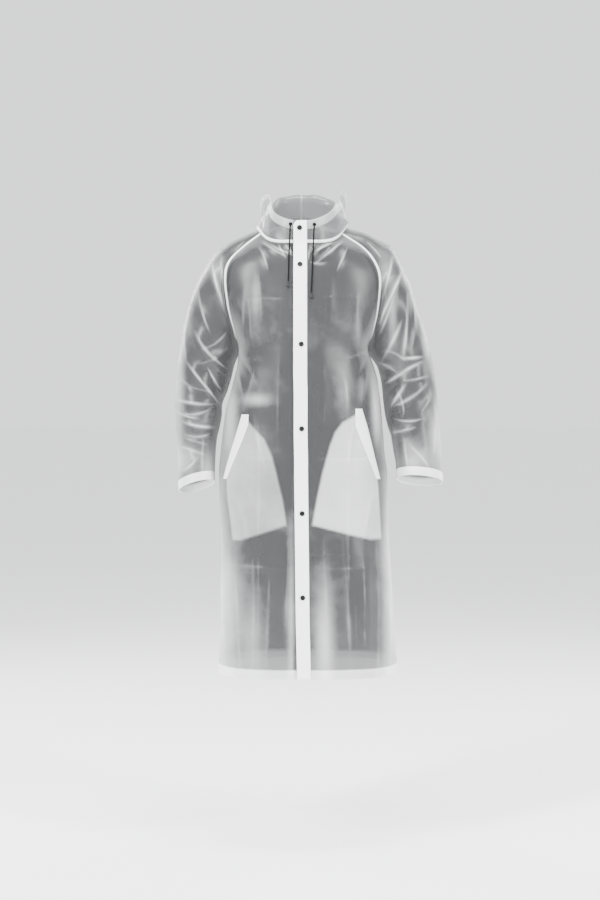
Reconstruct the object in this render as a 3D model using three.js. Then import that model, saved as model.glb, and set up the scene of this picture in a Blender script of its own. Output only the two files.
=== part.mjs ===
// A long hooded raincoat of clear film, worn on a general figure and hollow inside.
// Millimetres, +Z up, -Y the front, +X the wearer's left. The origin is the centre of the neck base.

import * as THREE from 'three';

// Film and seams
const WALL = 1.2;
const SEAM_GAP = 0.3;
const MITRE_LEAST = 0.8;
const BAND_LIFT = SEAM_GAP + WALL;
const CASING_LIFT = BAND_LIFT + 0.9;
const SEAM_WIDTH = 9;
const BAND_INSET = 1.6;
const NECK_SEAM_FOOT = 2.6;
const NECK_SEAM_WIDTH = 7;
const HEM_WIDTH = 20;
const CASING_WIDTH = 22;
const HOOD_SEAM_HALF = 3;
const HOOD_SEAM_GAP = 2.4;

// Lengths and levels
const ARMPIT_Z = -303;
const HEM_Z = -1097;

// Front opening
const LAP = 17;
const LAP_BACK = 0.6;
const UNDERLAP = 15;
const UNDER_PUSH = WALL + 1.3;
const PLACKET_HALF = 16.5;
const PLACKET_CORNER = 14;
const FACING_TOP_Z = -600;

// How finely the sections are cut
const CAP_ROWS = 10;
const ARM_ROWS = 13;
const SKIRT_ROWS = 13;
const SLEEVE_COLUMNS = 16;
const FRONT_COLUMNS = 8;
const BACK_COLUMNS = 12;
const HOOD_ROWS = 15;
const SECTION_STEPS = 48;
// Points lie on a fine grid that 32-bit numbers hold exactly
const GRID = 1 / 256;

// Colours
const FILM = { color: 0xd9dcdc, roughness: 0.35, metalness: 0 };
const DOUBLED = { color: 0xf4f5f4, roughness: 0.45, metalness: 0 };
const BLACK = { color: 0x141414, roughness: 0.5, metalness: 0 };

const table = (names, ...rows) =>
  rows.map((row) => Object.fromEntries(names.map((name, i) => [name, row[i]])));

// Sleeve sections. The ridge is the outermost point and the inner point faces the body. While open is
// under 180 degrees the section is a cap, and its inner point lies on the raglan seams.
const SLEEVE_NAMES = ['ring', 'ridgeX', 'ridgeZ', 'innerX', 'innerZ', 'depth', 'middleY', 'pitch', 'open'];
const SLEEVE_RIGHT = table(
  SLEEVE_NAMES,
  [0, -120, -2, -111, -14, 50, 0, 0, 65],
  [1, -167, -20, -155, -49, 63, 0, 0, 76],
  [2, -200, -38, -189, -86, 75, 0, 0, 86],
  [3, -226, -58, -198, -128, 81, 0, 0, 100],
  [4, -249, -93, -190, -197, 88, 0, 0, 120],
  [5, -271, -132, -175, -255, 88, 2, 0, 143],
  [6, -287, -178, -165, ARMPIT_Z, 86, 4, 0, 180],
  [7, -300, -224, -176, -338, 85, 5, 0, 180],
  [8, -310, -274, -184, -370, 83, 5, 0, 180],
  [9, -317, -325, -194, -403, 80, 5, 0, 180],
  [10, -321, -375, -206, -434, 77, 4, 2, 180],
  [11, -325, -425, -208, -465, 74, 0, 5, 180],
  [12, -324, -470, -213, -493, 71, -8, 9, 180],
  [13, -320, -515, -219, -520, 68, -18, 12, 180],
  [14, -316, -560, -222, -556, 65, -29, 14, 180],
  [15, -314, -600, -223, -588, 62, -39, 14, 180],
  [16, -313, -630, -223, -606, 60, -46, 14, 180],
  [17, -313, -650, -222, -626, 60, -50, 14, 180],
);
const SLEEVE_LEFT = table(
  SLEEVE_NAMES,
  [0, 104, 4, 93, -14, 50, 0, 0, 65],
  [1, 150, -8, 143, -49, 63, 0, 0, 76],
  [2, 190, -27, 172, -84, 75, 0, 0, 86],
  [3, 222, -47, 186, -127, 81, 0, 0, 100],
  [4, 243, -85, 180, -200, 88, 0, 0, 120],
  [5, 262, -132, 168, -256, 88, 2, 0, 143],
  [6, 278, -180, 158, ARMPIT_Z, 86, 4, 0, 180],
  [7, 294, -230, 180, -341, 85, 5, 0, 180],
  [8, 308, -280, 189, -372, 83, 5, 0, 180],
  [9, 320, -328, 193, -402, 80, 5, 0, 180],
  [10, 327, -380, 196, -432, 77, 4, 2, 180],
  [11, 331, -430, 200, -462, 74, 0, 5, 180],
  [12, 335, -478, 206, -490, 71, -8, 9, 180],
  [13, 337, -520, 214, -515, 68, -18, 12, 180],
  [14, 339, -556, 219, -548, 65, -29, 14, 180],
  [15, 340, -588, 224, -578, 62, -39, 15, 180],
  [16, 341, -609, 225, -599, 60, -46, 15, 180],
  [17, 342, -629, 226, -619, 60, -50, 15, 180],
);
const ARMPIT_RING = 6;
const CUFF_RING = 16;
const END_RING = 17;

// Yoke sections, level with the sleeve caps: the centre line at the front and the back, how far round
// each section has turned where it meets the seam, and how sharply it dips from the seam.
const YOKE = table(
  ['ring', 'frontX', 'frontY', 'frontZ', 'frontTurn', 'frontDip', 'backY', 'backZ', 'backTurn', 'backDip'],
  [0, -12, -112, -45, 74, 5.5, 75, 12, 60, 2],
  [1, -12, -122, -70, 70, 3, 99, -22, 62, 2],
  [2, -12, -133, -100, 68, 2.4, 118, -60, 64, 2],
  [3, -12, -143, -138, 68, 2, 131, -108, 66, 2],
  [4, -12, -153, -202, 74, 2, 142, -185, 72, 2],
  [5, -12, -158, -256, 82, 2, 148, -245, 80, 2],
  [6, -12, -160, ARMPIT_Z, 90, 2, 150, ARMPIT_Z, 90, 2],
);

// Sections from the armpit to the hem: the sides, the front opening's centre line, how deep the front
// and the back are, how square the corners are, and how far the turned edge stands out.
const SKIRT = table(
  ['z', 'right', 'left', 'sideY', 'frontX', 'frontY', 'backY', 'square', 'turned'],
  [ARMPIT_Z, -165, 158, 4, -12, -160, 150, 2.3, 0],
  [-342, -170, 172, 4, -12, -160, 149, 2.3, 0],
  [-370, -177, 180, 4, -12, -160, 147, 2.35, 0],
  [-405, -186, 185, 4, -11, -160, 145, 2.4, 0],
  [-445, -197, 190, 3, -11, -160, 143, 2.4, 0],
  [-505, -205, 195, 2, -11, -160, 143, 2.45, 0],
  [-565, -212, 200, 2, -10, -163, 147, 2.5, 0],
  [-600, -215, 205, 2, -10, -165, 150, 2.5, 2],
  [-690, -213, 208, 2, -9, -171, 157, 2.6, 6],
  [-775, -210, 210, 2, -8, -177, 163, 2.7, 8],
  [-955, -210, 220, 4, -6, -187, 175, 2.9, 9],
  [-1045, -214, 227, 5, -4, -190, 180, 3, 9],
  [HEM_Z, -218, 232, 5, -3, -191, 182, 3, 9],
);

// The hood by azimuth round the neck, 0 at the front: it stands up by rise, rolls over outward, drops,
// turns under and lifts again to the face edge. Heading is the way that it rolls.
const HOOD = table(
  ['azimuth', 'leanRight', 'leanLeft', 'flareLeft', 'rise', 'heading', 'over', 'drop', 'under', 'lift'],
  [0, 2, 2, 0, 57, 0, 0, 0, 0, 0],
  [15, 0, 0, 0, 58, 15, 0, 0, 0, 0],
  [41, -8, -4, 0, 73, 90, 0, 0, 0, 0],
  [62, -18, -14, 32, 84, 118, 0, 0, 0, 0],
  [80, -25, -20, 56, 82, 124, 2, 1, 0, 0],
  [97, -30, -24, 48, 79, 140, 16, 4, 1, 0],
  [115, -34, -22, 20, 75, 154, 66, 27, 20, 7],
  [135, -24, -13, 0, 70, 162, 134, 79, 93, 41],
  [157, -12, -10, 0, 66, 170, 165, 123, 149, 87],
  [180, -8, -8, 0, 64, 180, 172, 134, 164, 100],
);
const ROLL_RADIUS = 21;
const TURN_RADIUS = 13;
const STAND_FOOT = 6;
const FLARE_REACH = 18;
const HOOD_STEP = 2;
const NECK_CENTRE = new THREE.Vector2(-9, -15);

// Folds by where they start, bend and end in the front view, how wide they are and how far they stand
// out, negative for a trough. The sleeve folds at the back repeat the front's, lower and softer.
const FOLD_NAMES = ['x1', 'z1', 'x2', 'z2', 'x3', 'z3', 'width', 'height'];
const SLEEVE_FOLDS_RIGHT = table(
  FOLD_NAMES,
  [-226, -90, -218, -150, -190, -225, 13, 7],
  [-268, -258, -240, -322, -186, -352, 14, 8],
  [-288, -334, -251, -383, -212, -438, 13, 8],
  [-240, -344, -221, -376, -204, -404, 12, -7],
  [-312, -425, -255, -440, -222, -434, 12, 6],
  [-300, -478, -265, -494, -226, -492, 12, 6],
  [-307, -541, -280, -543, -244, -560, 12, -5],
);
const SLEEVE_FOLDS_LEFT = table(
  FOLD_NAMES,
  [236, -110, 212, -160, 182, -240, 14, 8],
  [250, -162, 248, -270, 240, -320, 13, 6],
  [238, -224, 216, -285, 190, -330, 13, 5],
  [290, -318, 262, -324, 236, -322, 12, 7],
  [290, -330, 242, -353, 198, -384, 13, -8],
  [250, -381, 233, -412, 212, -444, 12, 6],
  [300, -384, 268, -420, 222, -440, 12, 5],
  [270, -492, 238, -504, 210, -506, 12, 5],
  [262, -538, 282, -562, 302, -590, 12, 5],
);
const FRONT_FOLDS = table(
  FOLD_NAMES,
  [-146, -150, -150, -230, -148, -300, 16, 4],
  [96, -376, 100, -420, 101, -466, 15, 5],
  [166, -352, 170, -412, 186, -494, 13, -5],
  [-120, -330, -128, -400, -150, -450, 16, 4],
  [172, -765, 176, -930, 176, -1090, 18, 6],
  [-172, -820, -160, -960, -156, -1090, 20, 5],
  [96, -820, 108, -950, 112, -1090, 22, -5],
  [-84, -800, -92, -950, -96, -1090, 24, -4],
);
const BACK_FOLDS = table(
  FOLD_NAMES,
  [-150, -170, -140, -250, -118, -330, 18, 5],
  [146, -160, 140, -240, 112, -340, 18, 6],
  [-90, -420, -104, -620, -118, -860, 24, 6],
  [84, -460, 96, -700, 102, -1000, 24, 7],
  [-10, -560, 6, -800, 14, -1090, 26, -6],
  [-156, -760, -160, -930, -166, -1090, 20, 6],
  [160, -700, 168, -900, 172, -1090, 20, 6],
  [-60, -880, -54, -980, -52, -1090, 22, 5],
);
const BACK_SLEEVE_SCALE = 0.7;
const BACK_SLEEVE_DROP = 24;
const FOLD_ENDS = [0.12, 0.88];
const FOLD_PLACES = 12;
const SLEEVE_FOLD_SPREAD = 1.6;

// Pocket bags by level: the edge towards the opening and the edge towards the side.
const BAG_NAMES = ['z', 'inner', 'outer'];
const BAG_RIGHT = table(
  BAG_NAMES,
  [-466, -144, -155],
  [-484, -128, -161],
  [-518, -96, -172],
  [-558, -78, -184],
  [-613, -63, -195],
  [-670, -50, -193],
  [-728, -42, -184],
  [-750, -104, -181],
  [-768, -158, -178],
);
const BAG_LEFT = table(
  BAG_NAMES,
  [-456, 126, 141],
  [-476, 90, 147],
  [-500, 70, 153],
  [-534, 57, 162],
  [-604, 38, 180],
  [-660, 26, 184],
  [-728, 14, 187],
  [-750, 98, 188],
  [-766, 158, 188],
);
const BAG_GAP = 0.9;
const BAG_ROWS = 12;
const BAG_COLUMNS = 6;
const WELT_NAMES = ['z', 'inner', 'outer'];
const WELT_RIGHT = table(WELT_NAMES, [-460, -137, -154], [-486, -138, -162], [-618, -190, -200]);
const WELT_LEFT = table(WELT_NAMES, [-446, 121, 137], [-488, 121, 150], [-618, 174, 184]);
const WELT_ROWS = 8;
const WELT_COLUMNS = 3;
const WELT_GAP = 1.3;

// Snaps, drawcord and their fittings
const SNAPS = table(
  ['x', 'z'],
  [-13.7, -6],
  [-12.5, -96],
  [-9.5, -290],
  [-8.5, -494],
  [-7.5, -698],
  [-6, -900],
);
const SNAP_RADIUS = 6.3;
const SNAP_HEIGHT = 2.8;
const SNAP_DISH = 1.1;
const SNAP_SIDES = 16;
const CORD_RADIUS = 1.9;
const CORD_SIDES = 8;
const CORD_STEPS = 20;
const CORD_RIGHT = table(
  ['x', 'y', 'z'],
  [-35.6, -111.8, 3],
  [-35.7, -115, 2.4],
  [-36.2, -118.4, -5],
  [-37, -119.3, -20],
  [-38, -120.2, -45],
  [-39, -126.8, -72],
  [-40, -138, -105],
  [-41, -146.5, -139],
);
const CORD_LEFT = table(
  ['x', 'y', 'z'],
  [22.7, -111, 2],
  [22.5, -114.5, 1.4],
  [22, -118.4, -5],
  [21, -119.3, -22],
  [20, -120.4, -47],
  [18.6, -130, -80],
  [16.8, -142.6, -122],
  [15, -151.6, -166],
);
const END_LENGTH = 13;
const END_RADIUS = 4.6;
const END_NECK = 2.4;
const EYELET_RADIUS = 4.5;
const EYELET_HEIGHT = 1.6;
const SMALL_SIDES = 14;

const radians = THREE.MathUtils.degToRad;
const lerp = THREE.MathUtils.lerp;
const vector = (x, y, z) => new THREE.Vector3(x, y, z);

// Every column of a table at one place, on a smooth curve through its rows
function along(rows, key, place) {
  const way = Math.sign(rows.at(-1)[key] - rows[0][key]);
  const found = rows.findIndex((row) => way * row[key] >= way * place);
  const next = THREE.MathUtils.clamp(found < 0 ? rows.length - 1 : found, 1, rows.length - 1);
  const a = rows[next - 1];
  const b = rows[next];
  const before = rows[next - 2] ?? a;
  const after = rows[next + 1] ?? b;
  const span = b[key] - a[key];
  const t = THREE.MathUtils.clamp((place - a[key]) / span, 0, 1);
  const value = (name) => {
    const slopeA = ((b[name] - before[name]) / (b[key] - before[key])) * span;
    const slopeB = ((after[name] - a[name]) / (after[key] - a[key])) * span;
    const rise = b[name] - a[name];
    const square = 3 * rise - 2 * slopeA - slopeB;
    const cube = slopeA + slopeB - 2 * rise;
    return a[name] + slopeA * t + square * t ** 2 + cube * t ** 3;
  };
  return Object.fromEntries(Object.keys(a).map((name) => [name, name === key ? place : value(name)]));
}

// Points at given distances along a line of points
function walk(line, distances) {
  const reach = [0];
  line.slice(1).forEach((point, i) => reach.push(reach[i] + point.distanceTo(line[i])));
  return distances.map((distance) => {
    const found = reach.findIndex((length) => length >= distance - 1e-9);
    const next = THREE.MathUtils.clamp(found < 0 ? line.length - 1 : found, 1, line.length - 1);
    const share = (distance - reach[next - 1]) / (reach[next] - reach[next - 1] || 1);
    return line[next - 1].clone().lerp(line[next], THREE.MathUtils.clamp(share, 0, 1));
  });
}

function lengthOf(line) {
  return line.slice(1).reduce((sum, point, i) => sum + point.distanceTo(line[i]), 0);
}

const steps = (count) => Array.from({ length: count + 1 }, (_, i) => i / count);

// A sleeve section: a function from the angle round it, 0 at the ridge and negative to the front
function sleeveRing(rings, place) {
  const at = along(rings, 'ring', place);
  const open = place >= ARMPIT_RING ? 180 : Math.min(at.open, 178);
  const across = vector(at.ridgeX - at.innerX, 0, at.ridgeZ - at.innerZ);
  const half = across.length() / (1 - Math.cos(radians(open)));
  across.normalize();
  const back = vector(0, Math.cos(radians(at.pitch)), -Math.sin(radians(at.pitch)));
  const centre = vector(at.ridgeX, at.middleY, at.ridgeZ).addScaledVector(across, -half);
  const point = (angle) =>
    centre
      .clone()
      .addScaledVector(across, half * Math.cos(angle))
      .addScaledVector(back, at.depth * Math.sin(angle));
  return { point, open: radians(open) };
}

// Half of a body section, from its seam to the centre line
function halfSection(seam, centre, turn, square, dip) {
  const power = 2 / square;
  const level = Math.max(Math.cos(radians(turn)), 0) ** power;
  const full = Math.sin(radians(turn)) ** power;
  return steps(SECTION_STEPS).map((step) => {
    const angle = radians(turn) * (1 - step);
    const across = Math.sin(angle) ** power / full;
    const deep = (Math.max(Math.cos(angle), 0) ** power - level) / (1 - level);
    return vector(
      centre.x + (seam.x - centre.x) * across,
      seam.y + (centre.y - seam.y) * deep,
      centre.z + (seam.z - centre.z) * across ** dip,
    );
  });
}

const YOKE_SQUARE = 2.3;
const capPlaces = steps(CAP_ROWS).map((step) => step * ARMPIT_RING);
const skirtLevels = [
  ...steps(SKIRT_ROWS).slice(1).map((step) => lerp(ARMPIT_Z, HEM_Z + HEM_WIDTH, step)),
  HEM_Z,
];

// Every body row: its raglan or side points, its centre points and its shape
function bodyRow(rings, side, place, level) {
  if (level === undefined) {
    const at = along(YOKE, 'ring', place);
    const ring = sleeveRing(rings, place);
    return {
      frontSeam: ring.point(-ring.open),
      backSeam: ring.point(ring.open),
      front: vector(at.frontX, at.frontY, at.frontZ),
      back: vector(NECK_CENTRE.x, at.backY, at.backZ),
      frontShape: [at.frontTurn, YOKE_SQUARE, at.frontDip],
      backShape: [at.backTurn, YOKE_SQUARE, at.backDip],
      turned: 0,
    };
  }
  const at = along(SKIRT, 'z', level);
  const seam = vector(at[side], at.sideY, level);
  return {
    frontSeam: seam,
    backSeam: seam,
    front: vector(at.frontX, at.frontY, level),
    back: vector(NECK_CENTRE.x, at.backY, level),
    frontShape: [90, at.square, 1],
    backShape: [90, at.square, 1],
    turned: at.turned,
  };
}

const bodyRows = (rings, side) => [
  ...capPlaces.map((place) => bodyRow(rings, side, place)),
  ...skirtLevels.map((level) => bodyRow(rings, side, 0, level)),
];

// A sheet is a grid of points whose rows run down or up the garment. Outward is 1 where a row's way
// crossed with the columns' way points out of the garment, and rows from closedFrom on join up.
const makeSheet = (points, outward, closedFrom = Infinity) => ({ points, outward, closedFrom });

function frontSheet(rows, lapOver) {
  const way = lapOver ? -1 : 1;
  const points = rows.map((row) => {
    const half = halfSection(row.frontSeam, row.front, ...row.frontShape);
    const centre = lengthOf(half);
    const past = lapOver ? LAP : UNDERLAP;
    const setBack = lapOver ? LAP_BACK : 0;
    half.push(vector(row.front.x + way * past, row.front.y + setBack, row.front.z));
    const edge = centre - LAP - row.turned;
    const even = steps(FRONT_COLUMNS - 1).map((step) => lerp(SEAM_WIDTH, edge, step));
    return walk(half, [0, ...even, centre, centre + past]);
  });
  return makeSheet(points, lapOver ? 1 : -1);
}

function backSheet(rightRows, leftRows) {
  const points = rightRows.map((row, i) => {
    const right = halfSection(row.backSeam, row.back, ...row.backShape);
    const left = halfSection(leftRows[i].backSeam, row.back, ...row.backShape).reverse();
    const line = [...right, ...left.slice(1)];
    const width = lengthOf(line);
    const even = steps(BACK_COLUMNS).map((step) => lerp(SEAM_WIDTH, width - SEAM_WIDTH, step));
    return walk(line, [0, ...even, width]);
  });
  return makeSheet(points, 1);
}

function sleeveSheet(rings, outward) {
  const places = [
    ...capPlaces,
    ...steps(ARM_ROWS).slice(1).map((step) => lerp(ARMPIT_RING, CUFF_RING, step)),
    END_RING,
  ];
  const points = places.map((place) => {
    const ring = sleeveRing(rings, place);
    return steps(SLEEVE_COLUMNS).map((step) => ring.point(lerp(-ring.open, ring.open, step)));
  });
  return makeSheet(points, outward, CAP_ROWS);
}

// One upright line of the hood above a point of the neckline
function hoodLine(base, isLeft) {
  const offset = new THREE.Vector2(base.x, base.y).sub(NECK_CENTRE);
  const azimuth = THREE.MathUtils.radToDeg(Math.atan2(Math.abs(offset.x), -offset.y));
  const at = along(HOOD, 'azimuth', azimuth);
  const side = isLeft ? 1 : -1;
  const radial = vector(side * Math.sin(radians(azimuth)), -Math.cos(radians(azimuth)), 0);
  const heading = vector(side * Math.sin(radians(at.heading)), -Math.cos(radians(at.heading)), 0);
  const lean = isLeft ? at.leanLeft : at.leanRight;
  const flare = isLeft ? Math.max(at.flareLeft, 0) : 0;
  const line = [base.clone()];
  const go = (length, direction, startTilt, endTilt) => {
    const count = Math.max(Math.round(length / HOOD_STEP), 1);
    for (let i = 0; i < count; i += 1) {
      const tilt = radians(lerp(startTilt, endTilt, (i + 0.5) / count));
      const stride = length / count;
      line.push(
        line
          .at(-1)
          .clone()
          .addScaledVector(direction, Math.sin(tilt) * stride)
          .add(vector(0, 0, Math.cos(tilt) * stride)),
      );
    }
  };
  go(STAND_FOOT, radial, 0, 0);
  go(FLARE_REACH, radial, lean + flare, lean + flare);
  go(at.rise - STAND_FOOT - FLARE_REACH, radial, lean - flare / 4, lean);
  const over = Math.max(at.over, 0);
  const under = Math.max(at.under, 0);
  if (over > 1) {
    go(ROLL_RADIUS * radians(over), heading, 0, over);
    go(Math.max(at.drop, 1), heading, over, over);
  }
  if (under > 1) {
    go(TURN_RADIUS * radians(under), heading, over, over - under);
    go(Math.max(at.lift, 1), heading, over - under, over - under);
  }
  return line;
}

// The hood stands on the points of the neckline, from the front opening to the back
function hoodSheet(base, isLeft) {
  const lines = base.map((point) => hoodLine(point, isLeft));
  const rowsAt = (line) => {
    const length = lengthOf(line);
    const top = length - CASING_WIDTH;
    const even = steps(HOOD_ROWS).map((step) => lerp(NECK_SEAM_FOOT + NECK_SEAM_WIDTH, top, step));
    return walk(line, [0, NECK_SEAM_FOOT, ...even, length]);
  };
  const columns = lines.map(rowsAt);
  const points = columns[0].map((_, row) => columns.map((column) => column[row]));
  return makeSheet(points, isLeft ? 1 : -1);
}

// Flat lists of a sheet's points and faces, with a joined-up row's last point left out
function flatten(sheet) {
  const { points, closedFrom, outward } = sheet;
  const columns = points[0].length;
  const index = (row, column) => {
    const isSeam = row >= closedFrom && column === columns - 1;
    return row * columns + (isSeam ? 0 : column);
  };
  const quads = [];
  for (let row = 0; row < points.length - 1; row += 1) {
    for (let column = 0; column < columns - 1; column += 1) {
      const near = [index(row, column), index(row, column + 1)];
      const quad = [...near, index(row + 1, column + 1), index(row + 1, column)];
      quads.push(outward > 0 ? quad : quad.reverse());
    }
  }
  return { flat: points.flat(), quads };
}

function faceNormal(flat, quad) {
  const [a, b, c, d] = quad.map((i) => flat[i]);
  return c.clone().sub(a).cross(d.clone().sub(b));
}

const keyOf = (point) => [point.x, point.y, point.z].map((value) => Math.round(value * 100)).join(' ');

function normalSums(sheets) {
  const sums = new Map();
  for (const sheet of sheets) {
    const { flat, quads } = flatten(sheet);
    for (const quad of quads) {
      const normal = faceNormal(flat, quad);
      for (const i of quad) {
        const key = keyOf(flat[i]);
        sums.set(key, (sums.get(key) ?? vector(0, 0, 0)).add(normal));
      }
    }
  }
  return sums;
}

// Normals of the points, shared where sheets meet, so that their walls meet in a mitre. Under the arm,
// where they meet back to back, each sheet keeps its own.
function setNormals(sheets) {
  const shared = normalSums(sheets);
  for (const sheet of sheets) {
    const own = normalSums([sheet]);
    sheet.normals = sheet.points.map((row) =>
      row.map((point) => {
        const together = shared.get(keyOf(point)).clone().normalize();
        const alone = own.get(keyOf(point)).clone().normalize();
        return together.dot(alone) < MITRE_LEAST ? alone : together;
      }),
    );
  }
}

// How far a point near a fold stands out
function foldHeight(x, z, fold) {
  let best = 0;
  for (const step of steps(FOLD_PLACES)) {
    const near = (1 - step) ** 2;
    const middle = 2 * step * (1 - step);
    const far = step ** 2;
    const foldX = near * fold.x1 + middle * fold.x2 + far * fold.x3;
    const foldZ = near * fold.z1 + middle * fold.z2 + far * fold.z3;
    const away = ((x - foldX) ** 2 + (z - foldZ) ** 2) / fold.width ** 2;
    best = Math.max(best, Math.exp(-away) * Math.sin(Math.PI * lerp(...FOLD_ENDS, step)));
  }
  return best * fold.height;
}

// Moves a sheet's points along their normals by its folds, none at the seams and hems
function addFolds(sheet, folds, shareAt) {
  const last = sheet.points.length - 1;
  sheet.points = sheet.points.map((row, r) =>
    row.map((point, c) => {
      const share = shareAt(r, c, row.length - 1, last, point);
      const height = folds.reduce((sum, fold) => sum + foldHeight(point.x, point.z, fold), 0);
      return point.clone().addScaledVector(sheet.normals[r][c], height * share);
    }),
  );
}

// Part of a sheet moved in or out along its own normals, and drawn in at its first and last column
function band(panel, [rowA, rowB], [columnA, columnB], lift, [drawnFirst, drawnLast] = [0, 0]) {
  const sheet = { ...panel };
  setNormals([sheet]);
  const points = [];
  for (let row = rowA; row <= rowB; row += 1) {
    const line = [];
    for (let column = columnA; column <= columnB; column += 1) {
      line.push(sheet.points[row][column].clone().addScaledVector(sheet.normals[row][column], lift));
    }
    line[0].addScaledVector(line[1].clone().sub(line[0]).normalize(), drawnFirst);
    line.at(-1).addScaledVector(line.at(-2).clone().sub(line.at(-1)).normalize(), drawnLast);
    points.push(line);
  }
  const part = makeSheet(points, sheet.outward, rowA >= sheet.closedFrom ? 0 : Infinity);
  setNormals([part]);
  return part;
}

// A closed wall behind a sheet: its outer face is the sheet, drawn back a little at its open edges
function wallGeometry(sheet, thickness = WALL) {
  const { flat, quads } = flatten(sheet);
  const normals = sheet.normals.flat();
  const edges = new Map();
  const pull = new Map();
  for (const quad of quads) {
    const middle = quad.reduce((sum, i) => sum.add(flat[i]), vector(0, 0, 0)).multiplyScalar(0.25);
    quad.forEach((i, corner) => {
      const next = quad[(corner + 1) % 4];
      edges.has(`${next} ${i}`) ? edges.delete(`${next} ${i}`) : edges.set(`${i} ${next}`, [i, next]);
      pull.set(i, (pull.get(i) ?? vector(0, 0, 0)).add(middle).sub(flat[i]));
    });
  }
  const rim = [...edges.values()];
  const isRim = new Set(rim.flat());
  const outer = flat.map((point, i) => {
    if (!isRim.has(i)) return point;
    const inward = pull.get(i).clone().projectOnPlane(normals[i]).normalize();
    return point.clone().addScaledVector(inward, SEAM_GAP / 2);
  });
  const inner = outer.map((point, i) => point.clone().addScaledVector(normals[i], -thickness));
  const count = flat.length;
  const triangles = [];
  for (const [a, b] of rim) {
    triangles.push(b, a, count + a, b, count + a, count + b);
  }
  for (const [a, b, c, d] of quads) {
    triangles.push(a, b, c, a, c, d);
    triangles.push(count + a, count + c, count + b, count + a, count + d, count + c);
  }
  const geometry = new THREE.BufferGeometry();
  const positions = [...outer, ...inner].flatMap((point) =>
    point.toArray().map((value) => Math.round(value / GRID) * GRID),
  );
  geometry.setAttribute('position', new THREE.Float32BufferAttribute(positions, 3));
  geometry.setIndex(triangles);
  return geometry;
}

// The body, the sleeves and their folds
const rightRows = bodyRows(SLEEVE_RIGHT, 'right');
const leftRows = bodyRows(SLEEVE_LEFT, 'left');
const panels = {
  front_right: frontSheet(rightRows, false),
  front_left: frontSheet(leftRows, true),
  back: backSheet(rightRows, leftRows),
  sleeve_right: sleeveSheet(SLEEVE_RIGHT, 1),
  sleeve_left: sleeveSheet(SLEEVE_LEFT, -1),
};
setNormals(Object.values(panels));

const fade = (distance) => THREE.MathUtils.clamp(distance / 2, 0, 1);
const endShare = (row, lastRow) => fade(row) * fade(lastRow - 1 - row);
const frontShare = (row, column, lastColumn, lastRow) =>
  fade(column) * fade(lastColumn - 2 - column) * endShare(row, lastRow);
const backShare = (row, column, lastColumn, lastRow) =>
  fade(column) * fade(lastColumn - column) * endShare(row, lastRow);
const sleeveShare = (facing) => (row, column, lastColumn, lastRow) => {
  const seam = row > CAP_ROWS ? 1 : fade(Math.min(column, lastColumn - column));
  const turn = facing * Math.sin(Math.PI * (1 - (2 * column) / lastColumn));
  return THREE.MathUtils.clamp(SLEEVE_FOLD_SPREAD * turn, 0, 1) * seam * endShare(row, lastRow);
};
const behind = (folds) =>
  folds.map((fold) => ({
    ...fold,
    z1: fold.z1 - BACK_SLEEVE_DROP,
    z2: fold.z2 - BACK_SLEEVE_DROP,
    z3: fold.z3 - BACK_SLEEVE_DROP,
    height: fold.height * BACK_SLEEVE_SCALE,
  }));

addFolds(panels.front_right, FRONT_FOLDS.filter((fold) => fold.x1 < 0), frontShare);
addFolds(panels.front_left, FRONT_FOLDS.filter((fold) => fold.x1 > 0), frontShare);
addFolds(panels.back, BACK_FOLDS, backShare);
addFolds(panels.sleeve_right, SLEEVE_FOLDS_RIGHT, sleeveShare(1));
addFolds(panels.sleeve_left, SLEEVE_FOLDS_LEFT, sleeveShare(1));
addFolds(panels.sleeve_right, behind(SLEEVE_FOLDS_RIGHT), sleeveShare(-1));
addFolds(panels.sleeve_left, behind(SLEEVE_FOLDS_LEFT), sleeveShare(-1));
setNormals(Object.values(panels));

// The neckline under each half of the hood: some points of the front and sleeve, and all of the back
const backMiddle = (BACK_COLUMNS + 2) / 2;
const NECK_SLEEVE_STEPS = 6;
const NECK_FRONT_COLUMNS = [0, 1, 2, 4, 6];
function neckline(front, sleeve, back) {
  const last = front.length - 1;
  const frontPart = NECK_FRONT_COLUMNS.map((column) => front[last - column]);
  const sleevePart = steps(NECK_SLEEVE_STEPS).map((step) => sleeve[Math.round(step * (sleeve.length - 1))]);
  return [...frontPart, ...sleevePart, ...back.slice(1)];
}
const backNeck = panels.back.points[0];
const rightNeck = neckline(
  panels.front_right.points[0],
  panels.sleeve_right.points[0],
  backNeck.slice(0, backMiddle + 1),
);
const leftNeck = neckline(
  panels.front_left.points[0],
  panels.sleeve_left.points[0],
  backNeck.slice(backMiddle).reverse(),
);
const towardNeck = (point) => {
  const inward = vector(NECK_CENTRE.x - point.x, NECK_CENTRE.y - point.y, 0).normalize();
  return point.clone().addScaledVector(inward, SEAM_GAP);
};
const hood = {
  hood_right: hoodSheet(rightNeck.map(towardNeck), false),
  hood_left: hoodSheet(leftNeck.map(towardNeck), true),
};

// The right front and the right half of the hood pass under the left ones at the opening
function pushUnder(rows, columns, push) {
  for (const row of rows) {
    for (const column of columns) {
      row[column].y += push;
    }
  }
}
const frontLast = panels.front_right.points[0].length - 1;
pushUnder(panels.front_right.points, [frontLast, frontLast - 1, frontLast - 2], UNDER_PUSH);
pushUnder(hood.hood_right.points, [0, 1, 2], UNDER_PUSH);
setNormals(Object.values(panels));
setNormals(Object.values(hood));

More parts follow.
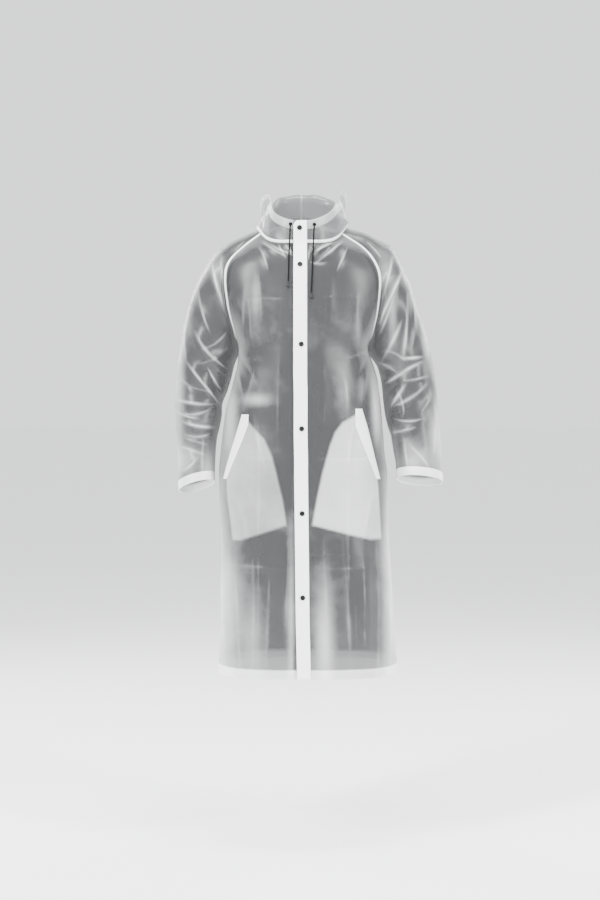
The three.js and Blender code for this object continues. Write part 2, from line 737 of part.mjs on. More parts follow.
// Doubled strips
const lastRow = panels.back.points.length - 1;
const raglanRows = [0, CAP_ROWS - 2];
const backLast = panels.back.points[0].length - 1;
const hoodTop = hood.hood_left.points.length - 1;
const hoodBack = hood.hood_left.points[0].length - 1;
const sleeveEnd = panels.sleeve_left.points.length - 1;
const hemLift = -WALL - SEAM_GAP;
const hemRows = [lastRow - 1, lastRow];
const cuffRows = [sleeveEnd - 1, sleeveEnd];
const roundCuff = [0, SLEEVE_COLUMNS];
const casingRows = [hoodTop - 1, hoodTop];
const roundHood = [2, hoodBack];
const drawnAtBack = [0, SEAM_GAP * 2];
const turnedRows = [panels.back.points.findIndex((row) => row[0].z < FACING_TOP_Z), lastRow];
const strips = {
  raglan_front_right: band(panels.front_right, raglanRows, [0, 1], BAND_LIFT, [BAND_INSET, 0]),
  raglan_front_left: band(panels.front_left, raglanRows, [0, 1], BAND_LIFT, [BAND_INSET, 0]),
  raglan_back_right: band(panels.back, raglanRows, [0, 1], BAND_LIFT, [BAND_INSET, 0]),
  raglan_back_left: band(panels.back, raglanRows, [backLast - 1, backLast], BAND_LIFT, [0, BAND_INSET]),
  front_facing: band(panels.front_right, turnedRows, [frontLast - 2, frontLast], hemLift),
  hem_front_right: band(panels.front_right, hemRows, [0, frontLast - 2], hemLift),
  hem_front_left: band(panels.front_left, hemRows, [0, frontLast - 2], hemLift),
  hem_back: band(panels.back, hemRows, [0, backLast], hemLift),
  cuff_hem_right: band(panels.sleeve_right, cuffRows, roundCuff, hemLift),
  cuff_hem_left: band(panels.sleeve_left, cuffRows, roundCuff, hemLift),
  neck_seam_right: band(hood.hood_right, [1, 2], roundHood, BAND_LIFT, drawnAtBack),
  neck_seam_left: band(hood.hood_left, [1, 2], roundHood, BAND_LIFT, drawnAtBack),
  hood_casing_right: band(hood.hood_right, casingRows, roundHood, CASING_LIFT, drawnAtBack),
  hood_casing_left: band(hood.hood_left, casingRows, roundHood, CASING_LIFT, drawnAtBack),
};

// The centre seam of the hood: a narrow strip laid along its two halves at the back
function hoodSeamSheet() {
  const points = [];
  for (let row = 3; row < hoodTop - 1; row += 1) {
    const middle = hood.hood_left.points[row][hoodBack];
    const normal = hood.hood_left.normals[row][hoodBack];
    const across = hood.hood_left.points[row][hoodBack - 1].clone().sub(middle).normalize();
    const other = hood.hood_right.points[row][hoodBack - 1].clone().sub(middle).normalize();
    points.push(
      [other, vector(0, 0, 0), across].map((direction) =>
        middle
          .clone()
          .addScaledVector(direction, HOOD_SEAM_HALF)
          .addScaledVector(normal, WALL + HOOD_SEAM_GAP),
      ),
    );
  }
  return makeSheet(points, -1);
}

// The placket follows the left front's centre line and the front of the hood, with one round corner
function placketSheet() {
  const front = panels.front_left.points.map((row) => row[frontLast - 1]);
  const stand = hood.hood_left.points.map((row) => row[1]);
  const line = [...front.slice(1).reverse(), ...stand.filter((_, i) => i !== 1)];
  const top = line.at(-1).z;
  const cornerRows = steps(3).map((step) => top - PLACKET_CORNER * (1 - Math.sin((step * Math.PI) / 2)));
  const below = line.filter((point) => point.z < top - PLACKET_CORNER - 1);
  const corner = cornerRows.map((z) => {
    const next = line.findIndex((point) => point.z >= z - 1e-6);
    const share = (z - line[next - 1].z) / (line[next].z - line[next - 1].z);
    return line[next - 1].clone().lerp(line[next], share);
  });
  const middles = [...below, ...corner];
  const points = middles.map((middle, i) => {
    const up = middles[Math.min(i + 1, middles.length - 1)].clone().sub(middles[Math.max(i - 1, 0)]);
    const normal = vector(0, -up.z, up.y).normalize();
    const rise = Math.max(middle.z - (top - PLACKET_CORNER), 0);
    const cut = PLACKET_CORNER - Math.sqrt(Math.max(PLACKET_CORNER ** 2 - rise ** 2, 0));
    const left = lerp(-PLACKET_HALF, -PLACKET_HALF + PLACKET_CORNER, cut / PLACKET_CORNER);
    return steps(2).map((step) => {
      const x = middle.x + lerp(left, PLACKET_HALF, step);
      return vector(x, middle.y, middle.z).addScaledVector(normal, BAND_LIFT);
    });
  });
  return makeSheet(points, 1);
}

// A point of a front at a level and a distance from the middle, with the normal there
function onFront(sheet, x, z) {
  const rows = sheet.points;
  const last = rows[0].length - 1;
  const lower = rows.findIndex((row) => row[last].z <= z);
  const share = (z - rows[lower - 1][last].z) / (rows[lower][last].z - rows[lower - 1][last].z);
  const line = rows[lower].map((point, i) => rows[lower - 1][i].clone().lerp(point, share));
  const normals = rows[lower].map((_, i) =>
    sheet.normals[lower - 1][i].clone().lerp(sheet.normals[lower][i], share).normalize(),
  );
  const way = Math.sign(line[last].x - line[0].x);
  const next = Math.max(line.findIndex((point) => way * point.x >= way * x), 1);
  const across = (x - line[next - 1].x) / (line[next].x - line[next - 1].x);
  const point = line[next - 1].clone().lerp(line[next], across);
  return { point, normal: normals[next - 1].lerp(normals[next], across) };
}

// A patch on a front between two edges that a table gives by level
function patchSheet(front, edges, rowCount, columnCount, lift, outward) {
  const points = steps(rowCount).map((step) => {
    const z = lerp(edges[0].z, edges.at(-1).z, step);
    const next = Math.max(edges.findIndex((edge) => edge.z <= z + 1e-6), 1);
    const part = (z - edges[next - 1].z) / (edges[next].z - edges[next - 1].z);
    const inner = lerp(edges[next - 1].inner, edges[next].inner, part);
    const outer = lerp(edges[next - 1].outer, edges[next].outer, part);
    return steps(columnCount).map((across) => {
      const place = onFront(front, lerp(outer, inner, across), z);
      return place.point.addScaledVector(place.normal.normalize(), lift);
    });
  });
  return makeSheet(points, outward);
}

const bagLift = -WALL - BAG_GAP;
const weltLift = WALL + WELT_GAP;
const patches = {
  placket: placketSheet(),
  hood_seam: hoodSeamSheet(),
  pocket_bag_right: patchSheet(panels.front_right, BAG_RIGHT, BAG_ROWS, BAG_COLUMNS, bagLift, -1),
  pocket_bag_left: patchSheet(panels.front_left, BAG_LEFT, BAG_ROWS, BAG_COLUMNS, bagLift, 1),
  pocket_welt_right: patchSheet(panels.front_right, WELT_RIGHT, WELT_ROWS, WELT_COLUMNS, weltLift, -1),
  pocket_welt_left: patchSheet(panels.front_left, WELT_LEFT, WELT_ROWS, WELT_COLUMNS, weltLift, 1),
};
Object.values(patches).forEach((patch) => setNormals([patch]));

// Snap caps stand on the placket, with a dished middle
function snapGeometry() {
  const profile = [
    [0, 0],
    [SNAP_RADIUS - 0.6, 0],
    [SNAP_RADIUS, 0.7],
    [SNAP_RADIUS - 0.3, SNAP_HEIGHT - 0.6],
    [SNAP_RADIUS - 1.4, SNAP_HEIGHT],
    [SNAP_RADIUS - 3.2, SNAP_HEIGHT - SNAP_DISH / 2],
    [0, SNAP_HEIGHT - SNAP_DISH],
  ];
  return new THREE.LatheGeometry(profile.map(([r, h]) => new THREE.Vector2(r, h)), SNAP_SIDES);
}

function eyeletGeometry() {
  const hole = CORD_RADIUS + 1;
  const profile = [
    [hole, 0],
    [EYELET_RADIUS, 0],
    [EYELET_RADIUS, EYELET_HEIGHT * 0.4],
    [(EYELET_RADIUS + hole) / 2, EYELET_HEIGHT],
    [hole, EYELET_HEIGHT * 0.6],
    [hole, 0],
  ];
  return new THREE.LatheGeometry(profile.map(([r, h]) => new THREE.Vector2(r, h)), SMALL_SIDES);
}

// The stopper on a cord's end, narrow at the cord and flared at the bottom
function endGeometry() {
  const profile = [
    [0, 0],
    [END_RADIUS - 0.8, 0],
    [END_RADIUS, 1.5],
    [END_RADIUS * 0.85, END_LENGTH * 0.5],
    [END_NECK, END_LENGTH],
    [0, END_LENGTH],
  ];
  return new THREE.LatheGeometry(profile.map(([r, h]) => new THREE.Vector2(r, h)), SMALL_SIDES);
}

const cordCurve = (route) => new THREE.CatmullRomCurve3(route.map(({ x, y, z }) => vector(x, y, z)));
function cordGeometry(route) {
  const section = new THREE.Shape(
    Array.from({ length: CORD_SIDES }, (_, i) => {
      const angle = (i / CORD_SIDES) * Math.PI * 2;
      return new THREE.Vector2(Math.cos(angle) * CORD_RADIUS, Math.sin(angle) * CORD_RADIUS);
    }),
  );
  return new THREE.ExtrudeGeometry(section, { steps: CORD_STEPS, extrudePath: cordCurve(route) });
}

const part = new THREE.Group();
const addMesh = (name, geometry, finish) => {
  const mesh = new THREE.Mesh(geometry, new THREE.MeshStandardMaterial({ ...finish, name }));
  mesh.name = name;
  part.add(mesh);
  return mesh;
};

for (const [name, sheet] of Object.entries({ ...panels, ...hood })) {
  addMesh(name, wallGeometry(sheet), FILM);
}
for (const [name, sheet] of Object.entries({ ...strips, ...patches })) {
  addMesh(name, wallGeometry(sheet), DOUBLED);
}

// Where a fitting stands on a sheet's centre line, by height
function placketSeat(x, z) {
  const rows = patches.placket.points.map((row) => row[1]);
  const next = rows.findIndex((point) => point.z >= z);
  const lower = rows[next - 1];
  const upper = rows[next];
  const share = (z - lower.z) / (upper.z - lower.z);
  const y = lerp(lower.y, upper.y, share);
  const normal = vector(0, lower.z - upper.z, upper.y - lower.y).normalize();
  return { seat: vector(x, y, z).addScaledVector(normal, SEAM_GAP), normal };
}
SNAPS.forEach(({ x, z }, i) => {
  const snap = addMesh(`snap_${i + 1}`, snapGeometry(), BLACK);
  const { seat, normal } = placketSeat(x, z);
  snap.position.copy(seat);
  snap.quaternion.setFromUnitVectors(vector(0, 1, 0), normal);
});

for (const [side, route] of [
  ['right', CORD_RIGHT],
  ['left', CORD_LEFT],
]) {
  const curve = cordCurve(route);
  addMesh(`drawcord_${side}`, cordGeometry(route), BLACK);
  const end = addMesh(`cord_end_${side}`, endGeometry(), BLACK);
  const down = curve.getTangentAt(1);
  end.position.copy(curve.getPointAt(1).addScaledVector(down, SEAM_GAP + END_LENGTH));
  end.quaternion.setFromUnitVectors(vector(0, 1, 0), down.clone().negate());
  const eyelet = addMesh(`eyelet_${side}`, eyeletGeometry(), BLACK);
  const start = curve.getPointAt(0);
  eyelet.position.copy(start);
  eyelet.quaternion.setFromUnitVectors(vector(0, 1, 0), vector(0, -1, 0));
}

export default part;
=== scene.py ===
import math

import bpy
import numpy as np
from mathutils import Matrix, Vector


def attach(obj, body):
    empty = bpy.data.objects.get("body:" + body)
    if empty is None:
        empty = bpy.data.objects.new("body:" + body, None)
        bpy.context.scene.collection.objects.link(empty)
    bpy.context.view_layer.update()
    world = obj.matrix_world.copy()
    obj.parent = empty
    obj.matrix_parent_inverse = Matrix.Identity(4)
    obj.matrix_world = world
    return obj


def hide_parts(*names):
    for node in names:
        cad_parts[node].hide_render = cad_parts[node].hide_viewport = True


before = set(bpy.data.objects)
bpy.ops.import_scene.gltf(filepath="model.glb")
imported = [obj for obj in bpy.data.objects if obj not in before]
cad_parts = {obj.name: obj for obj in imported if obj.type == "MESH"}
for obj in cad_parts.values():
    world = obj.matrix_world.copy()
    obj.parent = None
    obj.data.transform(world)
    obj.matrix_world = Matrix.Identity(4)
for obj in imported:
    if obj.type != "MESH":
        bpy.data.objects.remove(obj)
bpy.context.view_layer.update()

# Sizes in millimetres, as in the solids
ARMPIT_Z = -303
HEM_Z = -1097
HEM_WIDTH = 20
SEAM_WIDTH = 9
CASING_WIDTH = 22
NECK_SEAM_FOOT = 2.6
NECK_SEAM_WIDTH = 7
LAP = 17
LAP_BACK = 0.6
UNDERLAP = 15
UNDER_PUSH = 2.5
UNDER_FADE_COLUMNS = 12
PLACKET_HALF = 16.5
PLACKET_CORNER = 14
PLACKET_LIFT = 1.5
PLACKET_STEPS = 12
WELD_LINE = 9
HOOD_SEAM_HALF = 3
HOOD_SEAM_LIFT = 2.6
FACING_TOP_Z = -600
STRIP_WALL = 0.8
STRIP_GAP = 0.4
YOKE_SQUARE = 2.3
NECK_CENTRE = np.array([-9.0, -15.0])
ARMPIT_RING = 6
CUFF_RING = 16
END_RING = 17
SECTION_STEPS = 96


def table(names, *rows):
    """Columns by name."""
    return {name: np.array(column, float) for name, column in zip(names.split(), zip(*rows))}


SLEEVE_NAMES = "ring ridge_x ridge_z inner_x inner_z depth middle_y pitch open"
SLEEVE_RIGHT = table(
    SLEEVE_NAMES,
    (0, -120, -2, -111, -14, 50, 0, 0, 65),
    (1, -167, -20, -155, -49, 63, 0, 0, 76),
    (2, -200, -38, -189, -86, 75, 0, 0, 86),
    (3, -226, -58, -198, -128, 81, 0, 0, 100),
    (4, -249, -93, -190, -197, 88, 0, 0, 120),
    (5, -271, -132, -175, -255, 88, 2, 0, 143),
    (6, -287, -178, -165, ARMPIT_Z, 86, 4, 0, 180),
    (7, -300, -224, -176, -338, 85, 5, 0, 180),
    (8, -310, -274, -184, -370, 83, 5, 0, 180),
    (9, -317, -325, -194, -403, 80, 5, 0, 180),
    (10, -321, -375, -206, -434, 77, 4, 2, 180),
    (11, -325, -425, -208, -465, 74, 0, 5, 180),
    (12, -324, -470, -213, -493, 71, -8, 9, 180),
    (13, -320, -515, -219, -520, 68, -18, 12, 180),
    (14, -316, -560, -222, -556, 65, -29, 14, 180),
    (15, -314, -600, -223, -588, 62, -39, 14, 180),
    (16, -313, -630, -223, -606, 60, -46, 14, 180),
    (17, -313, -650, -222, -626, 60, -50, 14, 180),
)
SLEEVE_LEFT = table(
    SLEEVE_NAMES,
    (0, 104, 4, 93, -14, 50, 0, 0, 65),
    (1, 150, -8, 143, -49, 63, 0, 0, 76),
    (2, 190, -27, 172, -84, 75, 0, 0, 86),
    (3, 222, -47, 186, -127, 81, 0, 0, 100),
    (4, 243, -85, 180, -200, 88, 0, 0, 120),
    (5, 262, -132, 168, -256, 88, 2, 0, 143),
    (6, 278, -180, 158, ARMPIT_Z, 86, 4, 0, 180),
    (7, 294, -230, 180, -341, 85, 5, 0, 180),
    (8, 308, -280, 189, -372, 83, 5, 0, 180),
    (9, 320, -328, 193, -402, 80, 5, 0, 180),
    (10, 327, -380, 196, -432, 77, 4, 2, 180),
    (11, 331, -430, 200, -462, 74, 0, 5, 180),
    (12, 335, -478, 206, -490, 71, -8, 9, 180),
    (13, 337, -520, 214, -515, 68, -18, 12, 180),
    (14, 339, -556, 219, -548, 65, -29, 14, 180),
    (15, 340, -588, 224, -578, 62, -39, 15, 180),
    (16, 341, -609, 225, -599, 60, -46, 15, 180),
    (17, 342, -629, 226, -619, 60, -50, 15, 180),
)
YOKE = table(
    "ring front_x front_y front_z front_turn front_dip back_y back_z back_turn back_dip",
    (0, -12, -112, -45, 74, 5.5, 75, 12, 60, 2),
    (1, -12, -122, -70, 70, 3, 99, -22, 62, 2),
    (2, -12, -133, -100, 68, 2.4, 118, -60, 64, 2),
    (3, -12, -143, -138, 68, 2, 131, -108, 66, 2),
    (4, -12, -153, -202, 74, 2, 142, -185, 72, 2),
    (5, -12, -158, -256, 82, 2, 148, -245, 80, 2),
    (6, -12, -160, ARMPIT_Z, 90, 2, 150, ARMPIT_Z, 90, 2),
)
SKIRT = table(
    "z right left side_y front_x front_y back_y square turned",
    (ARMPIT_Z, -165, 158, 4, -12, -160, 150, 2.3, 0),
    (-342, -170, 172, 4, -12, -160, 149, 2.3, 0),
    (-370, -177, 180, 4, -12, -160, 147, 2.35, 0),
    (-405, -186, 185, 4, -11, -160, 145, 2.4, 0),
    (-445, -197, 190, 3, -11, -160, 143, 2.4, 0),
    (-505, -205, 195, 2, -11, -160, 143, 2.45, 0),
    (-565, -212, 200, 2, -10, -163, 147, 2.5, 0),
    (-600, -215, 205, 2, -10, -165, 150, 2.5, 2),
    (-690, -213, 208, 2, -9, -171, 157, 2.6, 6),
    (-775, -210, 210, 2, -8, -177, 163, 2.7, 8),
    (-955, -210, 220, 4, -6, -187, 175, 2.9, 9),
    (-1045, -214, 227, 5, -4, -190, 180, 3, 9),
    (HEM_Z, -218, 232, 5, -3, -191, 182, 3, 9),
)
HOOD = table(
    "azimuth lean_right lean_left flare_left rise heading over drop under lift",
    (0, 2, 2, 0, 57, 0, 0, 0, 0, 0),
    (15, 0, 0, 0, 58, 15, 0, 0, 0, 0),
    (41, -8, -4, 0, 73, 90, 0, 0, 0, 0),
    (62, -18, -14, 32, 84, 118, 0, 0, 0, 0),
    (80, -25, -20, 56, 82, 124, 2, 1, 0, 0),
    (97, -30, -24, 48, 79, 140, 16, 4, 1, 0),
    (115, -34, -22, 20, 75, 154, 66, 27, 20, 7),
    (135, -24, -13, 0, 70, 162, 134, 79, 93, 41),
    (157, -12, -10, 0, 66, 170, 165, 123, 149, 87),
    (180, -8, -8, 0, 64, 180, 172, 134, 164, 100),
)
ROLL_RADIUS = 21
TURN_RADIUS = 13
STAND_FOOT = 6
FLARE_REACH = 18
HOOD_STEP = 2

# Main folds as in the solids: start, bend and end in the front view, width, and height out of the cloth
FOLD_NAMES = "x1 z1 x2 z2 x3 z3 width height"
SLEEVE_FOLDS_RIGHT = table(
    FOLD_NAMES,
    (-226, -90, -218, -150, -190, -225, 13, 7),
    (-268, -258, -240, -322, -186, -352, 14, 8),
    (-288, -334, -251, -383, -212, -438, 13, 8),
    (-240, -344, -221, -376, -204, -404, 12, -7),
    (-312, -425, -255, -440, -222, -434, 12, 6),
    (-300, -478, -265, -494, -226, -492, 12, 6),
    (-307, -541, -280, -543, -244, -560, 12, -5),
    # Narrower ones
    (-262, -150, -256, -210, -232, -262, 7, 3),
    (-205, -70, -206, -120, -196, -170, 6, 3),
    (-186, -250, -214, -292, -252, -300, 7, -4),
    (-184, -290, -220, -330, -268, -338, 6, 3),
    (-310, -372, -280, -400, -232, -404, 6, -3),
    (-226, -440, -250, -462, -296, -460, 6, -4),
    (-316, -452, -290, -470, -262, -470, 5, 3),
    (-236, -508, -262, -520, -300, -508, 6, -4),
    (-300, -516, -270, -528, -240, -534, 5, 3),
    (-258, -560, -280, -590, -300, -600, 7, 3),
    (-250, -520, -254, -570, -252, -600, 6, 3),
    (-296, -240, -300, -290, -290, -340, 7, 3),
    (-150, -34, -172, -56, -186, -84, 6, -3),
)
SLEEVE_FOLDS_LEFT = table(
    FOLD_NAMES,
    (236, -110, 212, -160, 182, -240, 14, 8),
    (250, -162, 248, -270, 240, -320, 13, 6),
    (238, -224, 216, -285, 190, -330, 13, 5),
    (290, -318, 262, -324, 236, -322, 12, 7),
    (290, -330, 242, -353, 198, -384, 13, -8),
    (250, -381, 233, -412, 212, -444, 12, 6),
    (300, -384, 268, -420, 222, -440, 12, 5),
    (270, -492, 238, -504, 210, -506, 12, 5),
    (262, -538, 282, -562, 302, -590, 12, 5),
    # Narrower ones
    (214, -70, 206, -120, 190, -180, 6, 4),
    (226, -150, 206, -210, 180, -270, 5, -4),
    (268, -190, 270, -250, 262, -300, 6, 3),
    (180, -330, 206, -336, 226, -360, 5, 4),
    (196, -300, 226, -310, 250, -330, 5, -3),
    (302, -366, 270, -376, 240, -378, 6, 4),
    (306, -398, 310, -430, 286, -452, 5, 3),
    (228, -400, 250, -440, 238, -470, 5, -3),
    (216, -470, 250, -482, 292, -470, 6, -4),
    (318, -440, 322, -500, 316, -560, 7, 3),
    (240, -512, 250, -560, 252, -596, 6, 3),
    (150, -34, 172, -50, 186, -76, 6, -3),
)
FRONT_FOLDS = table(
    FOLD_NAMES,
    (-146, -150, -150, -230, -148, -300, 16, 4),
    (96, -376, 100, -420, 101, -466, 15, 5),
    (166, -352, 170, -412, 186, -494, 13, -5),
    (-120, -330, -128, -400, -150, -450, 16, 4),
    (172, -765, 176, -930, 176, -1090, 18, 6),
    (-172, -820, -160, -960, -156, -1090, 20, 5),
    (96, -820, 108, -950, 112, -1090, 22, -5),
    (-84, -800, -92, -950, -96, -1090, 24, -4),
    # Narrower ones: armpit drags, chest, waist and pocket
    (-168, -300, -140, -322, -108, -330, 7, 4),
    (-164, -316, -140, -350, -118, -374, 6, -3),
    (-168, -340, -152, -380, -146, -420, 6, 3),
    (160, -300, 132, -318, 104, -322, 7, 4),
    (158, -318, 140, -350, 128, -384, 6, -3),
    (150, -350, 140, -392, 134, -440, 7, 4),
    (-136, -180, -128, -250, -132, -300, 8, 2.5),
    (128, -170, 124, -236, 130, -290, 8, 2.5),
    (-112, -120, -104, -180, -106, -236, 9, 2),
    (60, -110, 64, -170, 62, -230, 10, 2),
    (-60, -300, -70, -420, -66, -540, 13, 2.5),
    (44, -300, 50, -420, 44, -520, 13, 2.5),
    (-130, -460, -112, -520, -96, -600, 9, 3),
    (-186, -620, -150, -700, -140, -760, 10, 3),
    (120, -470, 106, -540, 98, -620, 9, 3),
    (176, -630, 150, -700, 140, -770, 10, 3),
    (-40, -760, -46, -900, -50, -1080, 14, 3),
    (-128, -780, -124, -900, -128, -1080, 13, -3),
    (44, -770, 50, -900, 56, -1080, 15, 3),
    (140, -790, 142, -920, 144, -1080, 12, 4),
    (204, -800, 206, -920, 208, -1080, 12, 3),
    (-200, -840, -198, -940, -196, -1080, 12, 3),
)
BACK_FOLDS = table(
    FOLD_NAMES,
    (-150, -170, -140, -250, -118, -330, 18, 5),
    (146, -160, 140, -240, 112, -340, 18, 6),
    (-90, -420, -104, -620, -118, -860, 24, 6),
    (84, -460, 96, -700, 102, -1000, 24, 7),
    (-10, -560, 6, -800, 14, -1090, 26, -6),
    (-156, -760, -160, -930, -166, -1090, 20, 6),
    (160, -700, 168, -900, 172, -1090, 20, 6),
    (-60, -880, -54, -980, -52, -1090, 22, 5),
    # Narrower ones
    (-166, -300, -130, -330, -90, -336, 8, 4),
    (-166, -320, -138, -360, -120, -410, 7, -3),
    (160, -300, 128, -326, 96, -330, 8, 4),
    (160, -322, 140, -366, 126, -420, 7, -3),
    (-60, -120, -66, -200, -62, -280, 12, 3),
    (50, -110, 56, -190, 50, -270, 12, 3),
    (-30, -330, -40, -450, -36, -560, 14, 3),
    (30, -360, 40, -480, 44, -600, 14, -3),
    (-140, -480, -146, -600, -150, -720, 12, 4),
    (142, -500, 150, -620, 154, -720, 12, 3),
    (-110, -900, -112, -1000, -112, -1090, 14, -4),
    (58, -820, 62, -960, 66, -1090, 14, 4),
    (130, -860, 134, -980, 136, -1090, 13, -4),
    (-196, -820, -200, -960, -204, -1090, 12, 4),
    (204, -820, 210, -960, 216, -1090, 12, 4),
)
# Creases from having lain folded in a packet
PACK_CREASES = table(
    FOLD_NAMES,
    (-208, -828, -110, -826, -34, -830, 4, 1.6),
    (12, -828, 110, -832, 216, -828, 4, 1.8),
    (-205, -566, -110, -563, -34, -566, 4, -1.2),
    (12, -566, 100, -568, 200, -566, 4, -1.2),
    (30, -176, 90, -172, 140, -176, 4, 1.2),
    (-140, -180, -90, -178, -40, -180, 4, -1),
    (-112, -400, -113, -700, -114, -1070, 5, 1.2),
    (104, -500, 105, -760, 106, -1070, 5, -1.2),
)
BACK_CREASES = table(
    FOLD_NAMES,
    (-208, -828, 0, -826, 216, -828, 5, 1.6),
    (-205, -566, 0, -563, 200, -566, 5, -1.2),
    (-9, -60, -9, -560, -9, -1080, 5, 1.6),
)
BACK_SLEEVE_SCALE = 0.7
BACK_SLEEVE_DROP = 24

# Pocket bags and welts by level: the edge towards the opening and the edge towards the side
EDGE_NAMES = "z inner outer"
BAGS = {
    "right": table(
        EDGE_NAMES,
        (-466, -144, -155),
        (-484, -128, -161),
        (-518, -96, -172),
        (-558, -78, -184),
        (-613, -63, -195),
        (-670, -50, -193),
        (-728, -42, -184),
        (-750, -104, -181),
        (-768, -158, -178),
    ),
    "left": table(
        EDGE_NAMES,
        (-456, 126, 141),
        (-476, 90, 147),
        (-500, 70, 153),
        (-534, 57, 162),
        (-604, 38, 180),
        (-660, 26, 184),
        (-728, 14, 187),
        (-750, 98, 188),
        (-766, 158, 188),
    ),
}
WELTS = {
    "right": table(EDGE_NAMES, (-460, -137, -154), (-486, -138, -162), (-618, -190, -200)),
    "left": table(EDGE_NAMES, (-446, 121, 137), (-488, 121, 150), (-618, 174, 184)),
}

SNAPS = table(
    "x z",
    (-13.7, -6),
    (-12.5, -96),
    (-9.5, -290),
    (-8.5, -494),
    (-7.5, -698),
    (-6, -900),
)
CORD_RADIUS = 1.9
CORD_ROUTES = {
    "right": (
        (-35.6, -111.8, 3),
        (-35.7, -115, 2.4),
        (-36.2, -118.4, -5),
        (-37, -119.3, -20),
        (-38, -120.2, -45),
        (-39, -126.8, -72),
        (-40, -138, -105),
        (-41, -146.5, -139),
    ),
    "left": (
        (22.7, -111, 2),
        (22.5, -114.5, 1.4),
        (22, -118.4, -5),
        (21, -119.3, -22),
        (20, -120.4, -47),
        (18.6, -130, -80),
        (16.8, -142.6, -122),
        (15, -151.6, -166),
    ),
}
END_LENGTH = 13
END_RADIUS = 4.6


# Curves and sections
def along(columns, key, places):
    """Every column of a table at some places, on smooth curves through its rows."""
    at = columns[key]
    way = 1 if at[-1] > at[0] else -1
    places = np.atleast_1d(np.asarray(places, float))
    b = np.clip(np.searchsorted(way * at, way * places, side="left"), 1, len(at) - 1)
    a = b - 1
    before = np.maximum(b - 2, 0)
    after = np.minimum(b + 1, len(at) - 1)
    span = at[b] - at[a]
    t = np.clip((places - at[a]) / span, 0, 1)
    found = {}
    for name, value in columns.items():
        slope_a = (value[b] - value[before]) / (at[b] - at[before]) * span
        slope_b = (value[after] - value[a]) / (at[after] - at[a]) * span
        rise = value[b] - value[a]
        square = 3 * rise - 2 * slope_a - slope_b
        cube = slope_a + slope_b - 2 * rise
        found[name] = value[a] + slope_a * t + square * t**2 + cube * t**3
    found[key] = places
    return found


def smooth(t):
    t = np.clip(t, 0, 1)
    return t * t * (3 - 2 * t)


def unit(vectors):
    return vectors / np.maximum(np.linalg.norm(vectors, axis=-1, keepdims=True), 1e-9)


def reach(line):
    """How far along a line of points each one is."""
    return np.concatenate([[0], np.cumsum(np.linalg.norm(np.diff(line, axis=0), axis=1))])


def walk(line, distances):
    at = reach(line)
    return np.stack([np.interp(distances, at, line[:, k]) for k in range(3)], axis=1)


def marks(stops, counts):
    """Evenly spaced values between stops, with a count of steps for each stretch."""
    values = [np.linspace(a, b, n + 1)[1:] for a, b, n in zip(stops, stops[1:], counts)]
    return np.concatenate([[stops[0]], *values])


def sleeve_points(rings, places, turns):
    """Points of the sleeve's sections. A turn is 0 at the ridge and -1 and 1 at the inner point or seams."""
    at = along(rings, "ring", places)
    nothing = np.zeros_like(at["ring"])
    opened = np.radians(np.where(places >= ARMPIT_RING, 180, np.minimum(at["open"], 178)))
    across = np.stack([at["ridge_x"] - at["inner_x"], nothing, at["ridge_z"] - at["inner_z"]], axis=1)
    half = np.linalg.norm(across, axis=1) / (1 - np.cos(opened))
    across = unit(across)
    pitch = np.radians(at["pitch"])
    back = np.stack([nothing, np.cos(pitch), -np.sin(pitch)], axis=1)
    ridge = np.stack([at["ridge_x"], at["middle_y"], at["ridge_z"]], axis=1)
    centre = ridge - across * half[:, None]
    angle = opened[:, None] * turns[None]
    outward = across[:, None] * (half[:, None] * np.cos(angle))[..., None]
    round_it = back[:, None] * (at["depth"][:, None] * np.sin(angle))[..., None]
    return centre[:, None] + outward + round_it


def half_section(seam, centre, turn, square, dip):
    """Half of a body section, from its seam to the centre line."""
    power = 2 / square
    angle = np.radians(turn) * (1 - np.linspace(0, 1, SECTION_STEPS + 1))
    level = max(math.cos(math.radians(turn)), 0) ** power
    across = np.maximum(np.sin(angle), 0) ** power / math.sin(math.radians(turn)) ** power
    deep = (np.maximum(np.cos(angle), 0) ** power - level) / (1 - level)
    return np.stack(
        [
            centre[0] + (seam[0] - centre[0]) * across,
            seam[1] + (centre[1] - seam[1]) * deep,
            centre[2] + (seam[2] - centre[2]) * across**dip,
        ],
        axis=1,
    )


CAP_ROWS = 100
SKIRT_ROWS = 170
HEM_ROWS = 4
ARM_STEPS = 150
ARMPIT_ROWS = 10
SLEEVE_COLUMNS = 168
cap_places = np.linspace(0, ARMPIT_RING, CAP_ROWS + 1)
skirt_levels = marks([ARMPIT_Z, HEM_Z + HEM_WIDTH, HEM_Z], [SKIRT_ROWS, HEM_ROWS])[1:]
ROWS = CAP_ROWS + len(skirt_levels)
HEM_ROW = ROWS - HEM_ROWS


def body_rows(rings, side):
    """Seam and centre points and section shapes of every row, at the front and the back."""
    yoke = along(YOKE, "ring", cap_places)
    seams = sleeve_points(rings, cap_places, np.array([-1.0, 1.0]))
    rows = []
    for i in range(CAP_ROWS + 1):
        front = (yoke["front_x"][i], yoke["front_y"][i], yoke["front_z"][i])
        back = (NECK_CENTRE[0], yoke["back_y"][i], yoke["back_z"][i])
        front_shape = (yoke["front_turn"][i], YOKE_SQUARE, yoke["front_dip"][i])
        back_shape = (yoke["back_turn"][i], YOKE_SQUARE, yoke["back_dip"][i])
        rows.append((seams[i, 0], front, front_shape, seams[i, 1], back, back_shape, 0))
    skirt = along(SKIRT, "z", skirt_levels)
    for i, z in enumerate(skirt_levels):
        seam = (skirt[side][i], skirt["side_y"][i], z)
        shape = (90, skirt["square"][i], 1)
        front = (skirt["front_x"][i], skirt["front_y"][i], z)
        back = (NECK_CENTRE[0], skirt["back_y"][i], z)
        rows.append((seam, front, shape, seam, back, shape, skirt["turned"][i]))
    return rows


